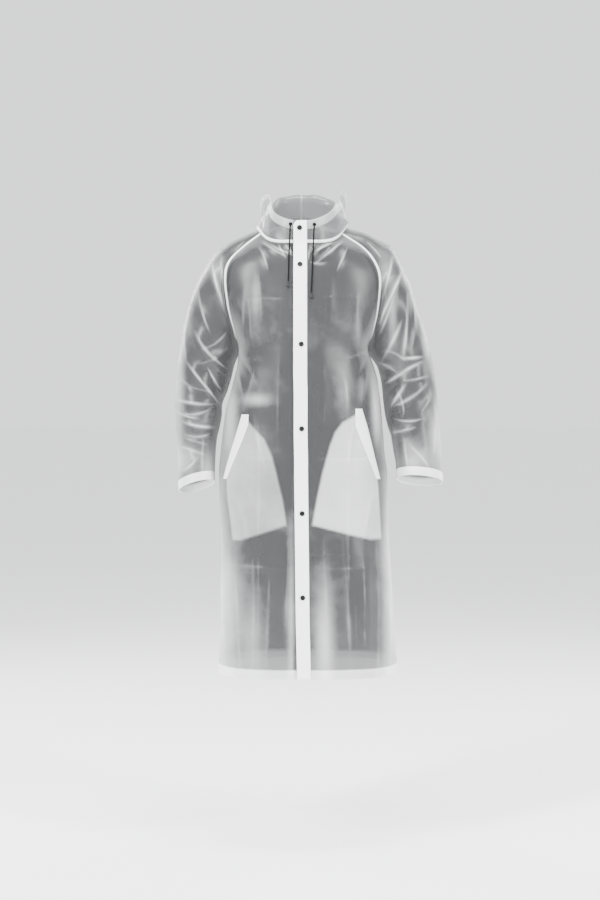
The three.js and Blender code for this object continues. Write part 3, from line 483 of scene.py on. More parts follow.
class Sheet:
    """A grid of cloth points, its shape before any folds, its whiteness from doubled film and painted
    highlights, and where it closes to a tube.
    """

    def __init__(self, points, outward, closed_from=None):
        self.points = points
        self.still = points.copy()
        self.outward = outward
        self.closed_from = closed_from
        self.milk = np.zeros(points.shape[:2])

    def normals(self):
        """Smooth normals of the points, that join across a tube's seam."""
        down = np.gradient(self.points, axis=0)
        across = np.gradient(self.points, axis=1)
        if self.closed_from is not None:
            start = self.closed_from
            joined = self.points[start:, 1] - self.points[start:, -2]
            across[start:, 0] = joined
            across[start:, -1] = joined
        return unit(np.cross(across, down)) * self.outward


FRONT_COUNTS = [4, 110, 5, 4]
FRONT_CENTRE = sum(FRONT_COUNTS[:3])
FRONT_EDGE = sum(FRONT_COUNTS[:2])
FRONT_END = sum(FRONT_COUNTS)
BACK_COLUMNS = 200
BACK_SEAM_COLUMNS = 4


def front_sheet(rows, laps_over):
    way = -1 if laps_over else 1
    past = LAP if laps_over else UNDERLAP
    points = []
    for seam, front, shape, _, _, _, turned in rows:
        half = half_section(seam, front, *shape)
        centre = reach(half)[-1]
        end = [front[0] + way * past, front[1] + (LAP_BACK if laps_over else 0), front[2]]
        line = np.vstack([half, end])
        stops = [0, SEAM_WIDTH, centre - LAP - turned, centre, centre + past]
        points.append(walk(line, marks(stops, FRONT_COUNTS)))
    return Sheet(np.array(points), 1 if laps_over else -1)


def back_sheet(right_rows, left_rows):
    points = []
    for right_row, left_row in zip(right_rows, left_rows):
        seam, back, shape = right_row[3:6]
        right = half_section(seam, back, *shape)
        seam, back, shape = left_row[3:6]
        left = half_section(seam, back, *shape)[::-1]
        line = np.vstack([right, left[1:]])
        width = reach(line)[-1]
        stops = [0, SEAM_WIDTH, width - SEAM_WIDTH, width]
        points.append(walk(line, marks(stops, [BACK_SEAM_COLUMNS, BACK_COLUMNS, BACK_SEAM_COLUMNS])))
    return Sheet(np.array(points), 1)


def sleeve_sheet(rings, outward):
    arm = marks([ARMPIT_RING, CUFF_RING, END_RING], [ARM_STEPS, HEM_ROWS])[1:]
    places = np.concatenate([cap_places, arm])
    points = sleeve_points(rings, places, np.linspace(-1, 1, SLEEVE_COLUMNS + 1))
    return Sheet(points, outward, CAP_ROWS)


right_rows = body_rows(SLEEVE_RIGHT, "right")
left_rows = body_rows(SLEEVE_LEFT, "left")
panels = {
    "front_right": front_sheet(right_rows, False),
    "front_left": front_sheet(left_rows, True),
    "back": back_sheet(right_rows, left_rows),
    "sleeve_right": sleeve_sheet(SLEEVE_RIGHT, 1),
    "sleeve_left": sleeve_sheet(SLEEVE_LEFT, -1),
}


# Folds
def fold_heights(points, folds, sharp=0.75):
    """How far each point of a sheet stands out, from the folds near it in the front view."""
    total = np.zeros(points.shape[:2])
    x, z = points[..., 0], points[..., 2]
    steps = np.linspace(0, 1, 26)
    for i in range(len(folds["width"])):
        fold = {name: column[i] for name, column in folds.items()}
        near, middle, far = (1 - steps) ** 2, 2 * steps * (1 - steps), steps**2
        fold_x = near * fold["x1"] + middle * fold["x2"] + far * fold["x3"]
        fold_z = near * fold["z1"] + middle * fold["z2"] + far * fold["z3"]
        reach_out = 3.2 * fold["width"]
        close = (
            (x > fold_x.min() - reach_out)
            & (x < fold_x.max() + reach_out)
            & (z > fold_z.min() - reach_out)
            & (z < fold_z.max() + reach_out)
        )
        if not close.any():
            continue
        px, pz = x[close], z[close]
        best = np.zeros(len(px))
        for k in range(len(steps) - 1):
            ax, az = fold_x[k], fold_z[k]
            dx, dz = fold_x[k + 1] - ax, fold_z[k + 1] - az
            t = np.clip(((px - ax) * dx + (pz - az) * dz) / max(dx * dx + dz * dz, 1e-6), 0, 1)
            away = np.hypot(px - ax - dx * t, pz - az - dz * t) / fold["width"]
            ends = np.sin(np.pi * (0.06 + 0.88 * (k + t) / (len(steps) - 1)))
            best = np.maximum(best, np.exp(-(away ** (2 * sharp))) * ends)
        total[close] += best * fold["height"]
    return total


def crest_lines(points, folds, strength=1.0):
    """Thin whitish lines along the crests of folds, fainter on low ones: painted highlights, partly also film
    that is whiter where it is creased.
    """
    lines = dict(folds)
    lines["width"] = folds["width"] * 0.1 + 1.6
    lines["height"] = (np.abs(folds["height"]) * 0.09 + 0.08) * strength
    along_it = 0.75 + 0.25 * np.sin(points[..., 0] / 17 + points[..., 2] / 23)
    return fold_heights(points, lines, 0.6) * along_it


def pale_highlight_patches(points, patches):
    """Painted highlights: broad pale patches on the film."""
    total = np.zeros(points.shape[:2])
    for x, z, wide, tall, milk in zip(*patches.values()):
        away = ((points[..., 0] - x) / wide) ** 2 + ((points[..., 2] - z) / tall) ** 2
        total += milk * np.exp(-away)
    return total


def waves(points, seed, size, height):
    """Soft unevenness, as of film that has been folded and worn."""
    total = np.zeros(points.shape[:2])
    for k in range(7):
        turn = seed * 1.7 + k * 2.399
        pitch = size * (0.62 + 0.13 * k)
        way = np.array([math.cos(turn), math.sin(turn * 1.3) * 0.6, math.sin(turn) * 0.7])
        bend = 0.8 * np.sin(points @ way[::-1] / (pitch * 1.9) + seed)
        total += np.sin(points @ way / pitch * math.pi + bend * 2 + k * 1.1)
    return total * height / 7


def share_from(distances, width):
    return smooth(np.asarray(distances) / width)


def seam_share(sheet, sides, width=42):
    """0 at a sheet's seams and 1 further in than width, by columns from the named sides."""
    at = np.cumsum(np.linalg.norm(np.diff(sheet.still, axis=1), axis=2), axis=1)
    at = np.concatenate([np.zeros((len(at), 1)), at], axis=1)
    share = np.ones(at.shape)
    if "first" in sides:
        share = share * share_from(at, width)
    if "last" in sides:
        share = share * share_from(at[:, -1:] - at, width)
    return share


def row_share(count, first, last):
    rows = np.arange(count)[:, None]
    return share_from(rows, first) * share_from(count - 1 - rows, last)


def move(sheet, heights):
    sheet.points = sheet.points + sheet.normals() * heights[..., None]


def pick(folds, wanted):
    return {name: column[wanted] for name, column in folds.items()}


def behind(folds):
    back = dict(folds)
    for name in ("z1", "z2", "z3"):
        back[name] = folds[name] - BACK_SLEEVE_DROP
    back["height"] = folds["height"] * BACK_SLEEVE_SCALE
    return back


# Gathers that spread from the neck seam over the chest
GATHERS_RIGHT = table(
    FOLD_NAMES,
    (-104, -40, -84, -58, -48, -76, 6, 3.4),
    (-84, -44, -62, -62, -34, -68, 5, -3),
    (-66, -46, -58, -62, -44, -84, 4, 2.4),
    (-50, -46, -42, -56, -34, -66, 4, 2),
    (-40, -46, -38, -58, -33, -74, 3, -1.8),
    (-112, -52, -96, -80, -90, -110, 7, 2.4),
)
GATHERS_LEFT = table(
    FOLD_NAMES,
    (66, -40, 44, -56, 18, -64, 6, 3.4),
    (92, -38, 60, -68, 22, -96, 6, 3.2),
    (56, -88, 36, -98, 12, -90, 5, -2.6),
    (44, -46, 32, -62, 16, -76, 4, -2.4),
    (24, -46, 18, -58, 12, -70, 3, 1.8),
    (104, -52, 88, -86, 74, -120, 7, 2.6),
    (12, -50, 10, -66, 8, -84, 3, 1.6),
)

# Painted highlights: broad pale patches where light falls on the film, not paler film
PATCH_NAMES = "x z wide tall milk"
HIGHLIGHT_PATCHES = {
    "front_right": table(
        PATCH_NAMES,
        (-182, -480, 16, 90, 0.3),
        (-192, -960, 34, 200, 0.42),
        (-126, -1000, 26, 120, 0.18),
        (-34, -960, 9, 190, 0.3),
        (-118, -424, 34, 14, 0.3),
        (-120, -180, 9, 60, 0.12),
    ),
    "front_left": table(
        PATCH_NAMES,
        (210, -900, 20, 260, 0.45),
        (176, -450, 12, 80, 0.36),
        (46, -1010, 20, 130, 0.4),
        (92, -410, 22, 60, 0.14),
        (128, -250, 10, 70, 0.1),
    ),
    "sleeve_right": table(
        PATCH_NAMES,
        (-310, -420, 14, 130, 0.3),
        (-296, -575, 26, 40, 0.3),
        (-236, -590, 16, 40, 0.25),
        (-214, -100, 18, 30, 0.2),
    ),
    "sleeve_left": table(
        PATCH_NAMES,
        (326, -520, 20, 90, 0.34),
        (270, -575, 34, 34, 0.3),
        (214, -210, 10, 60, 0.25),
        (300, -300, 10, 90, 0.2),
        (196, -110, 18, 34, 0.2),
    ),
    "back": table(
        PATCH_NAMES,
        (-186, -900, 36, 220, 0.36),
        (196, -860, 34, 260, 0.36),
        (-70, -230, 60, 40, 0.12),
        (10, -1010, 40, 130, 0.25),
    ),
}
# Paint the broad pale highlight patches into each panel's whiteness
for name, patches in HIGHLIGHT_PATCHES.items():
    panels[name].milk += pale_highlight_patches(panels[name].still, patches)

for name, side, gathers in (("front_right", -1, GATHERS_RIGHT), ("front_left", 1, GATHERS_LEFT)):
    sheet = panels[name]
    still = sheet.still
    wanted = FRONT_FOLDS["x1"] * side > 0
    columns = np.arange(FRONT_END + 1)[None]
    centre_share = share_from(FRONT_EDGE - columns, 9)
    share = seam_share(sheet, ["first"]) * centre_share
    ends = row_share(ROWS + 1, 10, 6)
    move(sheet, fold_heights(still, pick(FRONT_FOLDS, wanted)) * share * ends)
    # Painted highlights along the crests of folds, pack creases and gathers, partly also film whitened where
    # creased
    sheet.milk += crest_lines(still, pick(FRONT_FOLDS, wanted), 0.28)
    wanted = PACK_CREASES["x2"] * side > 0
    creases = fold_heights(still, pick(PACK_CREASES, wanted), 0.6)
    sheet.milk += crest_lines(still, pick(PACK_CREASES, wanted), 0.5)
    sheet.milk += crest_lines(still, gathers, 1.6)
    lines = fold_heights(still, gathers, 0.8) * row_share(ROWS + 1, 2, 2)
    narrow = seam_share(sheet, ["first"], 14) * share_from(FRONT_EDGE - columns, 3)
    soft = waves(still, 3.1 + side, 62, 2.6) * share * ends
    move(sheet, (creases + lines) * narrow + soft)

sheet = panels["back"]
share = seam_share(sheet, ["first", "last"])
ends = row_share(ROWS + 1, 10, 6)
soft = waves(sheet.still, 5.3, 66, 2.8)
move(sheet, (fold_heights(sheet.still, BACK_FOLDS) + soft) * share * ends)
# Painted highlights along the crests of the back's folds and pack creases, partly also film whitened where
# creased
sheet.milk += crest_lines(sheet.still, BACK_FOLDS, 0.4) + crest_lines(sheet.still, BACK_CREASES, 0.6)
narrow = seam_share(sheet, ["first", "last"], 14) * row_share(ROWS + 1, 4, 3)
move(sheet, fold_heights(sheet.still, BACK_CREASES, 0.6) * narrow)

for name, folds, seed in (("sleeve_right", SLEEVE_FOLDS_RIGHT, 1.3), ("sleeve_left", SLEEVE_FOLDS_LEFT, 2.2)):
    sheet = panels[name]
    count = len(sheet.still)
    turns = np.linspace(-1, 1, SLEEVE_COLUMNS + 1)
    seams = seam_share(sheet, ["first", "last"], 30)
    below = np.clip((np.arange(count)[:, None] - CAP_ROWS) / ARMPIT_ROWS, 0, 1)
    seams = seams * (1 - below) + below
    ends = row_share(count, 10, 6)
    for facing, these in ((1, folds), (-1, behind(folds))):
        facing_share = np.clip(1.6 * facing * np.sin(-np.pi * turns), 0, 1)[None]
        move(sheet, fold_heights(sheet.still, these) * facing_share * seams * ends)
        # Painted highlights along the crests of the sleeve folds, partly also film whitened where creased
        sheet.milk += crest_lines(sheet.still, these) * facing_share
    soft = waves(sheet.still, seed, 44, 2.4) * seams * ends
    fade = share_from((1 - np.abs(turns)) * 60, 6)[None]
    move(sheet, soft * np.where(np.arange(count)[:, None] > CAP_ROWS, fade, 1))


# Hood
def hood_line(base, is_left):
    """One upright line of the hood above a point of the neckline."""
    offset = base[:2] - NECK_CENTRE
    azimuth = math.degrees(math.atan2(abs(offset[0]), -offset[1]))
    at = {name: column[0] for name, column in along(HOOD, "azimuth", azimuth).items()}
    side = 1 if is_left else -1

    def toward(degrees):
        turn = math.radians(degrees)
        return np.array([side * math.sin(turn), -math.cos(turn), 0])

    radial, heading = toward(azimuth), toward(at["heading"])
    lean = at["lean_left"] if is_left else at["lean_right"]
    flare = max(at["flare_left"], 0) if is_left else 0
    line = [np.array(base, float)]

    def go(length, direction, start_tilt, end_tilt):
        count = max(round(length / HOOD_STEP), 1)
        for i in range(count):
            tilt = math.radians(start_tilt + (end_tilt - start_tilt) * (i + 0.5) / count)
            up = np.array([0, 0, math.cos(tilt)])
            line.append(line[-1] + (direction * math.sin(tilt) + up) * length / count)

    go(STAND_FOOT, radial, 0, 0)
    go(FLARE_REACH, radial, lean + flare, lean + flare)
    go(at["rise"] - STAND_FOOT - FLARE_REACH, radial, lean - flare / 4, lean)
    over, under = max(at["over"], 0), max(at["under"], 0)
    if over > 1:
        go(ROLL_RADIUS * math.radians(over), heading, 0, over)
        go(max(at["drop"], 1), heading, over, over)
    if under > 1:
        go(TURN_RADIUS * math.radians(under), heading, over, over - under)
        go(max(at["lift"], 1), heading, over - under, over - under)
    return np.array(line)


HOOD_COUNTS = [1, 3, 90, 5]


def hood_sheet(base, is_left):
    columns = []
    for point in base:
        line = hood_line(point, is_left)
        length = reach(line)[-1]
        stops = [0, NECK_SEAM_FOOT, NECK_SEAM_FOOT + NECK_SEAM_WIDTH, length - CASING_WIDTH, length]
        columns.append(walk(line, marks(stops, HOOD_COUNTS)))
    return Sheet(np.swapaxes(np.array(columns), 0, 1), 1 if is_left else -1)


HOOD_LAP_COLUMNS = FRONT_COUNTS[3]
HOOD_COLUMNS = 120
HOOD_FOOT_ROWS = sum(HOOD_COUNTS[:2])
HOOD_EASINGS = 14
back_neck = panels["back"].points[0]
back_middle = len(back_neck) // 2
back_halves = {"right": back_neck[1 : back_middle + 1], "left": back_neck[back_middle:-1][::-1]}
hood = {}
for side, back_half in back_halves.items():
    front_neck = panels[f"front_{side}"].points[0][::-1]
    base = np.vstack([front_neck, panels[f"sleeve_{side}"].points[0][1:], back_half])
    lap = base[: HOOD_LAP_COLUMNS + 1]
    round_neck = base[HOOD_LAP_COLUMNS:]
    rest = walk(round_neck, np.linspace(0, reach(round_neck)[-1], HOOD_COLUMNS + 1))
    hood[f"hood_{side}"] = hood_sheet(np.vstack([lap, rest[1:]]), side == "left")

for name, sheet in hood.items():
    # Softens the change from one upright line to the next, but not at the neck or the two ends
    points = sheet.points
    rows = np.arange(len(points))
    share = share_from(rows - HOOD_FOOT_ROWS, 20)[:, None, None]
    for _ in range(HOOD_EASINGS):
        eased = points.copy()
        eased[:, 6:-1] = (points[:, 5:-2] + 2 * points[:, 6:-1] + points[:, 7:]) / 4
        points = points + (eased - points) * share
    sheet.points = points
    sheet.still = points.copy()

# The right front and the right half of the hood pass under the left ones at the opening
front = panels["front_right"]
push = share_from(np.arange(FRONT_END + 1) - (FRONT_EDGE - 8), 8) * UNDER_PUSH
front.points[:, :, 1] += push[None]
columns = np.arange(hood["hood_right"].points.shape[1])
past_lap = (columns - HOOD_LAP_COLUMNS) / UNDER_FADE_COLUMNS
push = np.where(columns <= HOOD_LAP_COLUMNS, 1, smooth(1 - past_lap)) * UNDER_PUSH
hood["hood_right"].points[:, :, 1] += push[None]

# Unevenness of the hood: soft waves, and drags where it is thrown back
for name, sheet in hood.items():
    side = 1 if name.endswith("left") else -1
    rows = np.arange(len(sheet.points))[:, None]
    columns = np.arange(sheet.points.shape[1])[None]
    last = sheet.points.shape[1] - 1
    share = share_from(rows - HOOD_FOOT_ROWS, 16) * share_from(columns - HOOD_LAP_COLUMNS, 16)
    share = share * share_from(last - columns, 10)
    around = columns / last
    up = rows / rows.max()
    drags = np.sin(around * 46 + up * 5 * side + 1.3 * np.sin(around * 11)) * smooth((around - 0.3) / 0.2)
    drags = drags * np.sin(np.pi * np.clip(up * 1.2, 0, 1)) * 1.5
    soft = waves(sheet.still, 7.7 + side, 30, 2.0)
    move(sheet, (soft + drags) * share)

sheets = {**panels, **hood}


# Strips and patches on the sheets
def band(sheet, row_range, column_range, lift, draw=(0, 0)):
    """A stretch of a sheet moved out, or in where lift is negative, and drawn in at its sides."""
    r0, r1 = row_range
    c0, c1 = column_range
    points = (sheet.points + sheet.normals() * lift)[r0 : r1 + 1, c0 : c1 + 1].copy()
    if draw[0]:
        points[:, 0] += unit(points[:, 1] - points[:, 0]) * draw[0]
    if draw[1]:
        points[:, -1] += unit(points[:, -2] - points[:, -1]) * draw[1]
    closed = 0 if sheet.closed_from is not None and r0 >= sheet.closed_from else None
    return Sheet(points, sheet.outward, closed)


def on_sheet(sheet, x, z):
    """Points and normals of a front at places in the front view, by its shape without folds."""
    still, points, normals = sheet.still, sheet.points, sheet.normals()
    levels = still[:, -1, 2]
    way = np.sign(still[0, -1, 0] - still[0, 0, 0])
    found, found_normals = [], []
    for px, pz in zip(x, z):
        row = np.clip(np.searchsorted(-levels, -pz) - 1, 0, len(levels) - 2)
        down = (pz - levels[row]) / (levels[row + 1] - levels[row])
        line = still[row] * (1 - down) + still[row + 1] * down
        column = np.clip(np.searchsorted(way * line[:, 0], way * px) - 1, 0, len(line) - 2)
        across = (px - line[column, 0]) / (line[column + 1, 0] - line[column, 0])
        weights = ((1 - down) * (1 - across), (1 - down) * across, down * (1 - across), down * across)
        corners = ((row, column), (row, column + 1), (row + 1, column), (row + 1, column + 1))
        found.append(sum(w * points[c] for w, c in zip(weights, corners)))
        found_normals.append(sum(w * normals[c] for w, c in zip(weights, corners)))
    return np.array(found), unit(np.array(found_normals))


def patch(sheet, edges, row_count, column_count, lift):
    """A patch on a front between the two edges of a table."""
    levels = np.linspace(edges["z"][0], edges["z"][-1], row_count + 1)
    order = np.argsort(edges["z"])
    inner = np.interp(levels, edges["z"][order], edges["inner"][order])
    outer = np.interp(levels, edges["z"][order], edges["outer"][order])
    rows = []
    for z, a, b in zip(levels, outer, inner):
        x = np.linspace(a, b, column_count + 1)
        points, normals = on_sheet(sheet, x, np.full(len(x), z))
        rows.append(points + normals * lift)
    return Sheet(np.array(rows), sheet.outward)


def placket_sheet():
    front = panels["front_left"].points[:, FRONT_CENTRE]
    stand = hood["hood_left"].points[:, HOOD_LAP_COLUMNS]
    line = np.vstack([front[1:][::-1], stand[2:]])
    top = line[-1, 2]
    corner_z = top - PLACKET_CORNER * (1 - np.sin(np.linspace(0, np.pi / 2, 9)))
    below = line[line[:, 2] < top - PLACKET_CORNER - 1]
    corner = np.stack([np.interp(corner_z, line[:, 2], line[:, k]) for k in range(3)], axis=1)
    middles = np.vstack([below, corner])
    for _ in range(6):
        middles[1:-1, 1] = (middles[:-2, 1] + 2 * middles[1:-1, 1] + middles[2:, 1]) / 4
    up = np.gradient(middles, axis=0)
    normal = unit(np.stack([up[:, 0] * 0, -up[:, 2], up[:, 1]], axis=1))
    rise = np.maximum(middles[:, 2] - (top - PLACKET_CORNER), 0)
    cut = PLACKET_CORNER - np.sqrt(np.maximum(PLACKET_CORNER**2 - rise**2, 0))
    start = -PLACKET_HALF + cut
    steps = np.linspace(0, 1, PLACKET_STEPS + 1)
    rows = []
    for i, middle in enumerate(middles):
        x = start[i] + (PLACKET_HALF - start[i]) * steps
        # A little fuller between the weld lines than along them
        crown = 0.5 * np.exp(-(((np.abs(x) - WELD_LINE) / 5) ** 2))
        wave = 0.35 * math.sin(middle[2] / 31.0) + 0.25 * math.sin(middle[2] / 12.7 + 1)
        lift = PLACKET_LIFT + crown + wave * 0.6
        row = np.stack([middle[0] + x, np.full(len(x), middle[1]), np.full(len(x), middle[2])], axis=1)
        rows.append(row + normal[i] * lift[:, None])
    return Sheet(np.array(rows), 1)


def hood_seam_sheet():
    left, right = hood["hood_left"], hood["hood_right"]
    middle = left.points[5:-6, -1]
    normal = left.normals()[5:-6, -1]
    to_left = unit(left.points[5:-6, -2] - middle) * HOOD_SEAM_HALF
    to_right = unit(right.points[5:-6, -2] - middle) * HOOD_SEAM_HALF
    lift = normal * HOOD_SEAM_LIFT
    offsets = (to_right, to_right / 2, middle * 0, to_left / 2, to_left)
    return Sheet(np.stack([middle + offset + lift for offset in offsets], axis=1), -1)


SEAM_DRAW = 0.5
HOOD_DRAW = 0.3
BAG_ROWS = 60
BAG_COLUMNS = {"right": 36, "left": 40}
WELT_ROWS = 44
WELT_COLUMNS = 6
BAG_LIFT = -1.4
WELT_LIFT = 1.6
OUT = STRIP_GAP + STRIP_WALL
IN = -STRIP_GAP
cap = (0, CAP_ROWS - ARMPIT_ROWS)
hem = (HEM_ROW, ROWS)
sleeve_last = len(panels["sleeve_left"].points) - 1
cuff = (sleeve_last - HEM_ROWS, sleeve_last)
hood_rows = len(hood["hood_left"].points) - 1
hood_last = hood["hood_left"].points.shape[1] - 1
back_last = panels["back"].points.shape[1] - 1
neck_rows = (HOOD_COUNTS[0], HOOD_FOOT_ROWS)
casing_rows = (hood_rows - HOOD_COUNTS[3], hood_rows)
hood_round = (HOOD_LAP_COLUMNS, hood_last)
facing_top = int(np.argmax(panels["front_right"].still[:, -1, 2] < FACING_TOP_Z))
strips = {"placket": placket_sheet(), "hood_seam": hood_seam_sheet()}
strips["hem_back"] = band(panels["back"], hem, (0, back_last), IN)
strips["front_facing"] = band(panels["front_right"], (facing_top, ROWS), (FRONT_EDGE, FRONT_END), IN)
seam_start = (0, BACK_SEAM_COLUMNS)
seam_end = (back_last - BACK_SEAM_COLUMNS, back_last)
back_seams = {"right": (seam_start, (SEAM_DRAW, 0)), "left": (seam_end, (0, SEAM_DRAW))}
for side, (seam_columns, draw) in back_seams.items():
    front = panels[f"front_{side}"]
    strips[f"raglan_front_{side}"] = band(front, cap, seam_start, OUT, (SEAM_DRAW, 0))
    strips[f"raglan_back_{side}"] = band(panels["back"], cap, seam_columns, OUT, draw)
    strips[f"hem_front_{side}"] = band(front, hem, (0, FRONT_EDGE), IN)
    strips[f"cuff_hem_{side}"] = band(panels[f"sleeve_{side}"], cuff, (0, SLEEVE_COLUMNS), IN)
    for name, rows in (("neck_seam", neck_rows), ("hood_casing", casing_rows)):
        strips[f"{name}_{side}"] = band(hood[f"hood_{side}"], rows, hood_round, OUT, (0, HOOD_DRAW))
    strips[f"pocket_bag_{side}"] = patch(front, BAGS[side], BAG_ROWS, BAG_COLUMNS[side], BAG_LIFT)
    strips[f"pocket_welt_{side}"] = patch(front, WELTS[side], WELT_ROWS, WELT_COLUMNS, WELT_LIFT)


# Doubled film is whiter: at hems and cuffs, and where a pocket bag lies behind a front
DOUBLED_MILK = 0.7
BAG_MILK = {"right": 0.3, "left": 0.5}
BAG_EDGE_FADE = 7
for name in ("front_right", "front_left", "back"):
    sheets[name].milk[HEM_ROW:] += DOUBLED_MILK
for name in ("sleeve_right", "sleeve_left"):
    sheets[name].milk[cuff[0] :] += DOUBLED_MILK


def depth_inside(x, z, edges):
    """How far places of the front view lie inside a patch's outline, and 0 outside it."""
    corners = list(zip(edges["inner"], edges["z"])) + list(zip(edges["outer"], edges["z"]))[::-1]
    nearest = np.full(x.shape, np.inf)
    crossings = np.zeros(x.shape, int)
    for (ax, az), (bx, bz) in zip(corners, corners[1:] + corners[:1]):
        dx, dz = bx - ax, bz - az
        t = np.clip(((x - ax) * dx + (z - az) * dz) / (dx * dx + dz * dz), 0, 1)
        nearest = np.minimum(nearest, np.hypot(x - ax - dx * t, z - az - dz * t))
        if dz:
            crossings += ((az > z) != (bz > z)) & (x < ax + dx * (z - az) / dz)
    return np.where(crossings % 2 == 1, nearest, 0)


for side, edges in BAGS.items():
    sheet = sheets[f"front_{side}"]
    depth = depth_inside(sheet.still[..., 0], sheet.still[..., 2], edges)
    sheet.milk += BAG_MILK[side] * smooth(depth / BAG_EDGE_FADE)


# Materials, one for each slot and finish
def node_tree(name, slot_name):
    """A new material with its node tree, its shader and where on the object a point is."""
    material = bpy.data.materials.new(name)
    material.use_nodes = True
    material["slot"] = slot_name
    tree = material.node_tree
    place = tree.nodes.new("ShaderNodeTexCoord").outputs["Object"]
    return material, tree, tree.nodes["Principled BSDF"], place


def put(tree, made, values):
    """Links or sets inputs of a node by name."""
    for name, value in values.items():
        if hasattr(value, "is_linked"):
            tree.links.new(value, made.inputs[name])
        else:
            made.inputs[name].default_value = value


def new_node(tree, kind, output, values, **settings):
    """A new node with its settings and inputs, by the output that is wanted."""
    made = tree.nodes.new(f"ShaderNode{kind}")
    for name, value in settings.items():
        setattr(made, name, value)
    put(tree, made, values)
    return made.outputs[output]


def noise(tree, place, scale, detail=3.0, roughness=0.5, kind="FBM"):
    values = {"Vector": place, "Scale": scale, "Detail": detail, "Roughness": roughness}
    return new_node(tree, "TexNoise", "Fac", values, noise_type=kind)


def ramp(tree, value, low, high, from_low=0.0, from_high=1.0):
    """Maps a value from one range to another."""
    values = {"Value": value, "From Min": from_low, "From Max": from_high, "To Min": low, "To Max": high}
    return new_node(tree, "MapRange", "Result", values)


def mixed(tree, value, colour_a, colour_b):
    values = {"Factor": value, "A": (*colour_a, 1), "B": (*colour_b, 1)}
    return new_node(tree, "Mix", "Result", values, data_type="RGBA")


def speckled(tree, cloud, colour_a, colour_b):
    """Two colours by a noise."""
    return mixed(tree, ramp(tree, cloud, 0, 1, *NOISE_RANGE), colour_a, colour_b)


def bump(tree, height, distance, strength=1.0, **before):
    values = {"Distance": distance, "Strength": strength, "Height": height, **before}
    return new_node(tree, "Bump", "Normal", values)


def combined(tree, first, second, operation="ADD"):
    return new_node(tree, "Math", 0, {0: first, 1: second}, operation=operation, use_clamp=True)


NOISE_RANGE = (0.3, 0.7)
CLOUD_RANGE = (-0.1, 0.07)
STRAND_SLANT = 0.6
STRAND_SCALE = 260.0


def film(name, slot_name, clear, milky, alphas, shine, crinkle=1.0):
    """Clear, milky film: whiter and denser where it is doubled, creased or seen edge on, and where highlights
    are painted into its stored whiteness along creases and in broad pale patches.
    """
    material, tree, shader, place = node_tree(name, slot_name)
    # The stored value adds the whiteness of doubled film to painted highlights along creases and in broad
    # pale patches
    stored = new_node(tree, "Attribute", "Fac", {}, attribute_name="milk")
    cloud = ramp(tree, noise(tree, place, 6.0, 5.0, 0.62), *CLOUD_RANGE, *NOISE_RANGE)
    facing = new_node(tree, "LayerWeight", "Facing", {"Blend": 0.3})
    edge = ramp(tree, facing, 0, 0.55, 0.25, 1)
    whole = combined(tree, combined(tree, stored, cloud), edge)
    creases = noise(tree, place, 9.0, 2.0, 0.4, "RIDGED_MULTIFRACTAL")
    soft = bump(tree, creases, 0.003 * crinkle, 0.5)
    fine = noise(tree, place, 46.0)
    look = {
        "Base Color": mixed(tree, whole, clear, milky),
        "Alpha": ramp(tree, whole, *alphas),
        "Roughness": ramp(tree, cloud, shine, shine + 0.12, *CLOUD_RANGE),
        "Normal": bump(tree, fine, 0.0008 * crinkle, 0.4, Normal=soft),
        "IOR": 1.48,
        "Specular IOR Level": 0.4,
    }
    put(tree, shader, look)
    return material


def plastic(name, slot_name, dark, light, rough, grain):
    """Opaque plastic with a fine grain."""
    material, tree, shader, place = node_tree(name, slot_name)
    cloud = noise(tree, place, 24.0)
    look = {
        "Base Color": speckled(tree, cloud, dark, light),
        "Roughness": ramp(tree, cloud, rough - 0.05, rough + 0.08, *NOISE_RANGE),
        "Normal": bump(tree, noise(tree, place, grain, 2.0), 0.0001, 0.4),
        "Specular IOR Level": 0.14,
    }
    put(tree, shader, look)
    return material


def braid(name, slot_name, dark, light):
    """A round braided cord: two crossing diagonals of strands."""
    material, tree, shader, place = node_tree(name, slot_name)
    heights = []
    for slant in (STRAND_SLANT, -STRAND_SLANT):
        turned = new_node(tree, "Mapping", "Vector", {"Vector": place, "Rotation": (0, slant, 0)})
        values = {"Vector": turned, "Scale": STRAND_SCALE}
        heights.append(new_node(tree, "TexWave", "Fac", values, bands_direction="Z"))
    strands = combined(tree, *heights, "MULTIPLY")
    look = {
        "Base Color": mixed(tree, strands, dark, light),
        "Normal": bump(tree, strands, 0.0005, 0.8),
        "Roughness": ramp(tree, strands, 0.8, 0.6),
        "Specular IOR Level": 0.08,
    }
    put(tree, shader, look)
    return material


def grey(value, blue=0.0):
    """A grey, or one that is bluer by a little."""
    return (value, value + blue / 2, value + blue)


CLEAR = grey(0.02, 0.002)
MILKY = grey(0.88, 0.01)
WHITE = grey(0.93)
FILM = film("film", "film", CLEAR, MILKY, (0.8, 0.97), 0.3)
SLEEVE_FILM = film("sleeve_film", "film", CLEAR, MILKY, (0.76, 0.97), 0.26)
HOOD_FILM = film("hood_film", "film", grey(0.11, 0.005), MILKY, (0.62, 0.97), 0.22)
DOUBLED = film("doubled_film", "film_doubled", grey(0.84, 0.01), WHITE, (0.92, 1), 0.28, 0.4)
CASING = film("casing_film", "film_doubled", grey(0.4, 0.01), grey(0.86, 0.01), (0.62, 0.97), 0.28, 0.6)
BAG_FILM = film("bag_film", "pocket_film", grey(0.8, 0.02), grey(0.92), (0.7, 1), 0.3)
BRIGHT_BAG = film("bright_bag_film", "pocket_film", grey(0.93, 0.005), grey(0.97), (0.93, 1), 0.3)
PLACKET = film("placket_film", "placket_white", grey(0.94, 0.01), grey(0.98), (0.98, 1), 0.28, 0.4)
SNAP = plastic("snap_black", "snap_black", grey(0.006, 0.001), grey(0.016, 0.001), 0.28, 900)
CORD = braid("cord_black", "cord_black", grey(0.003), grey(0.014, 0.001))
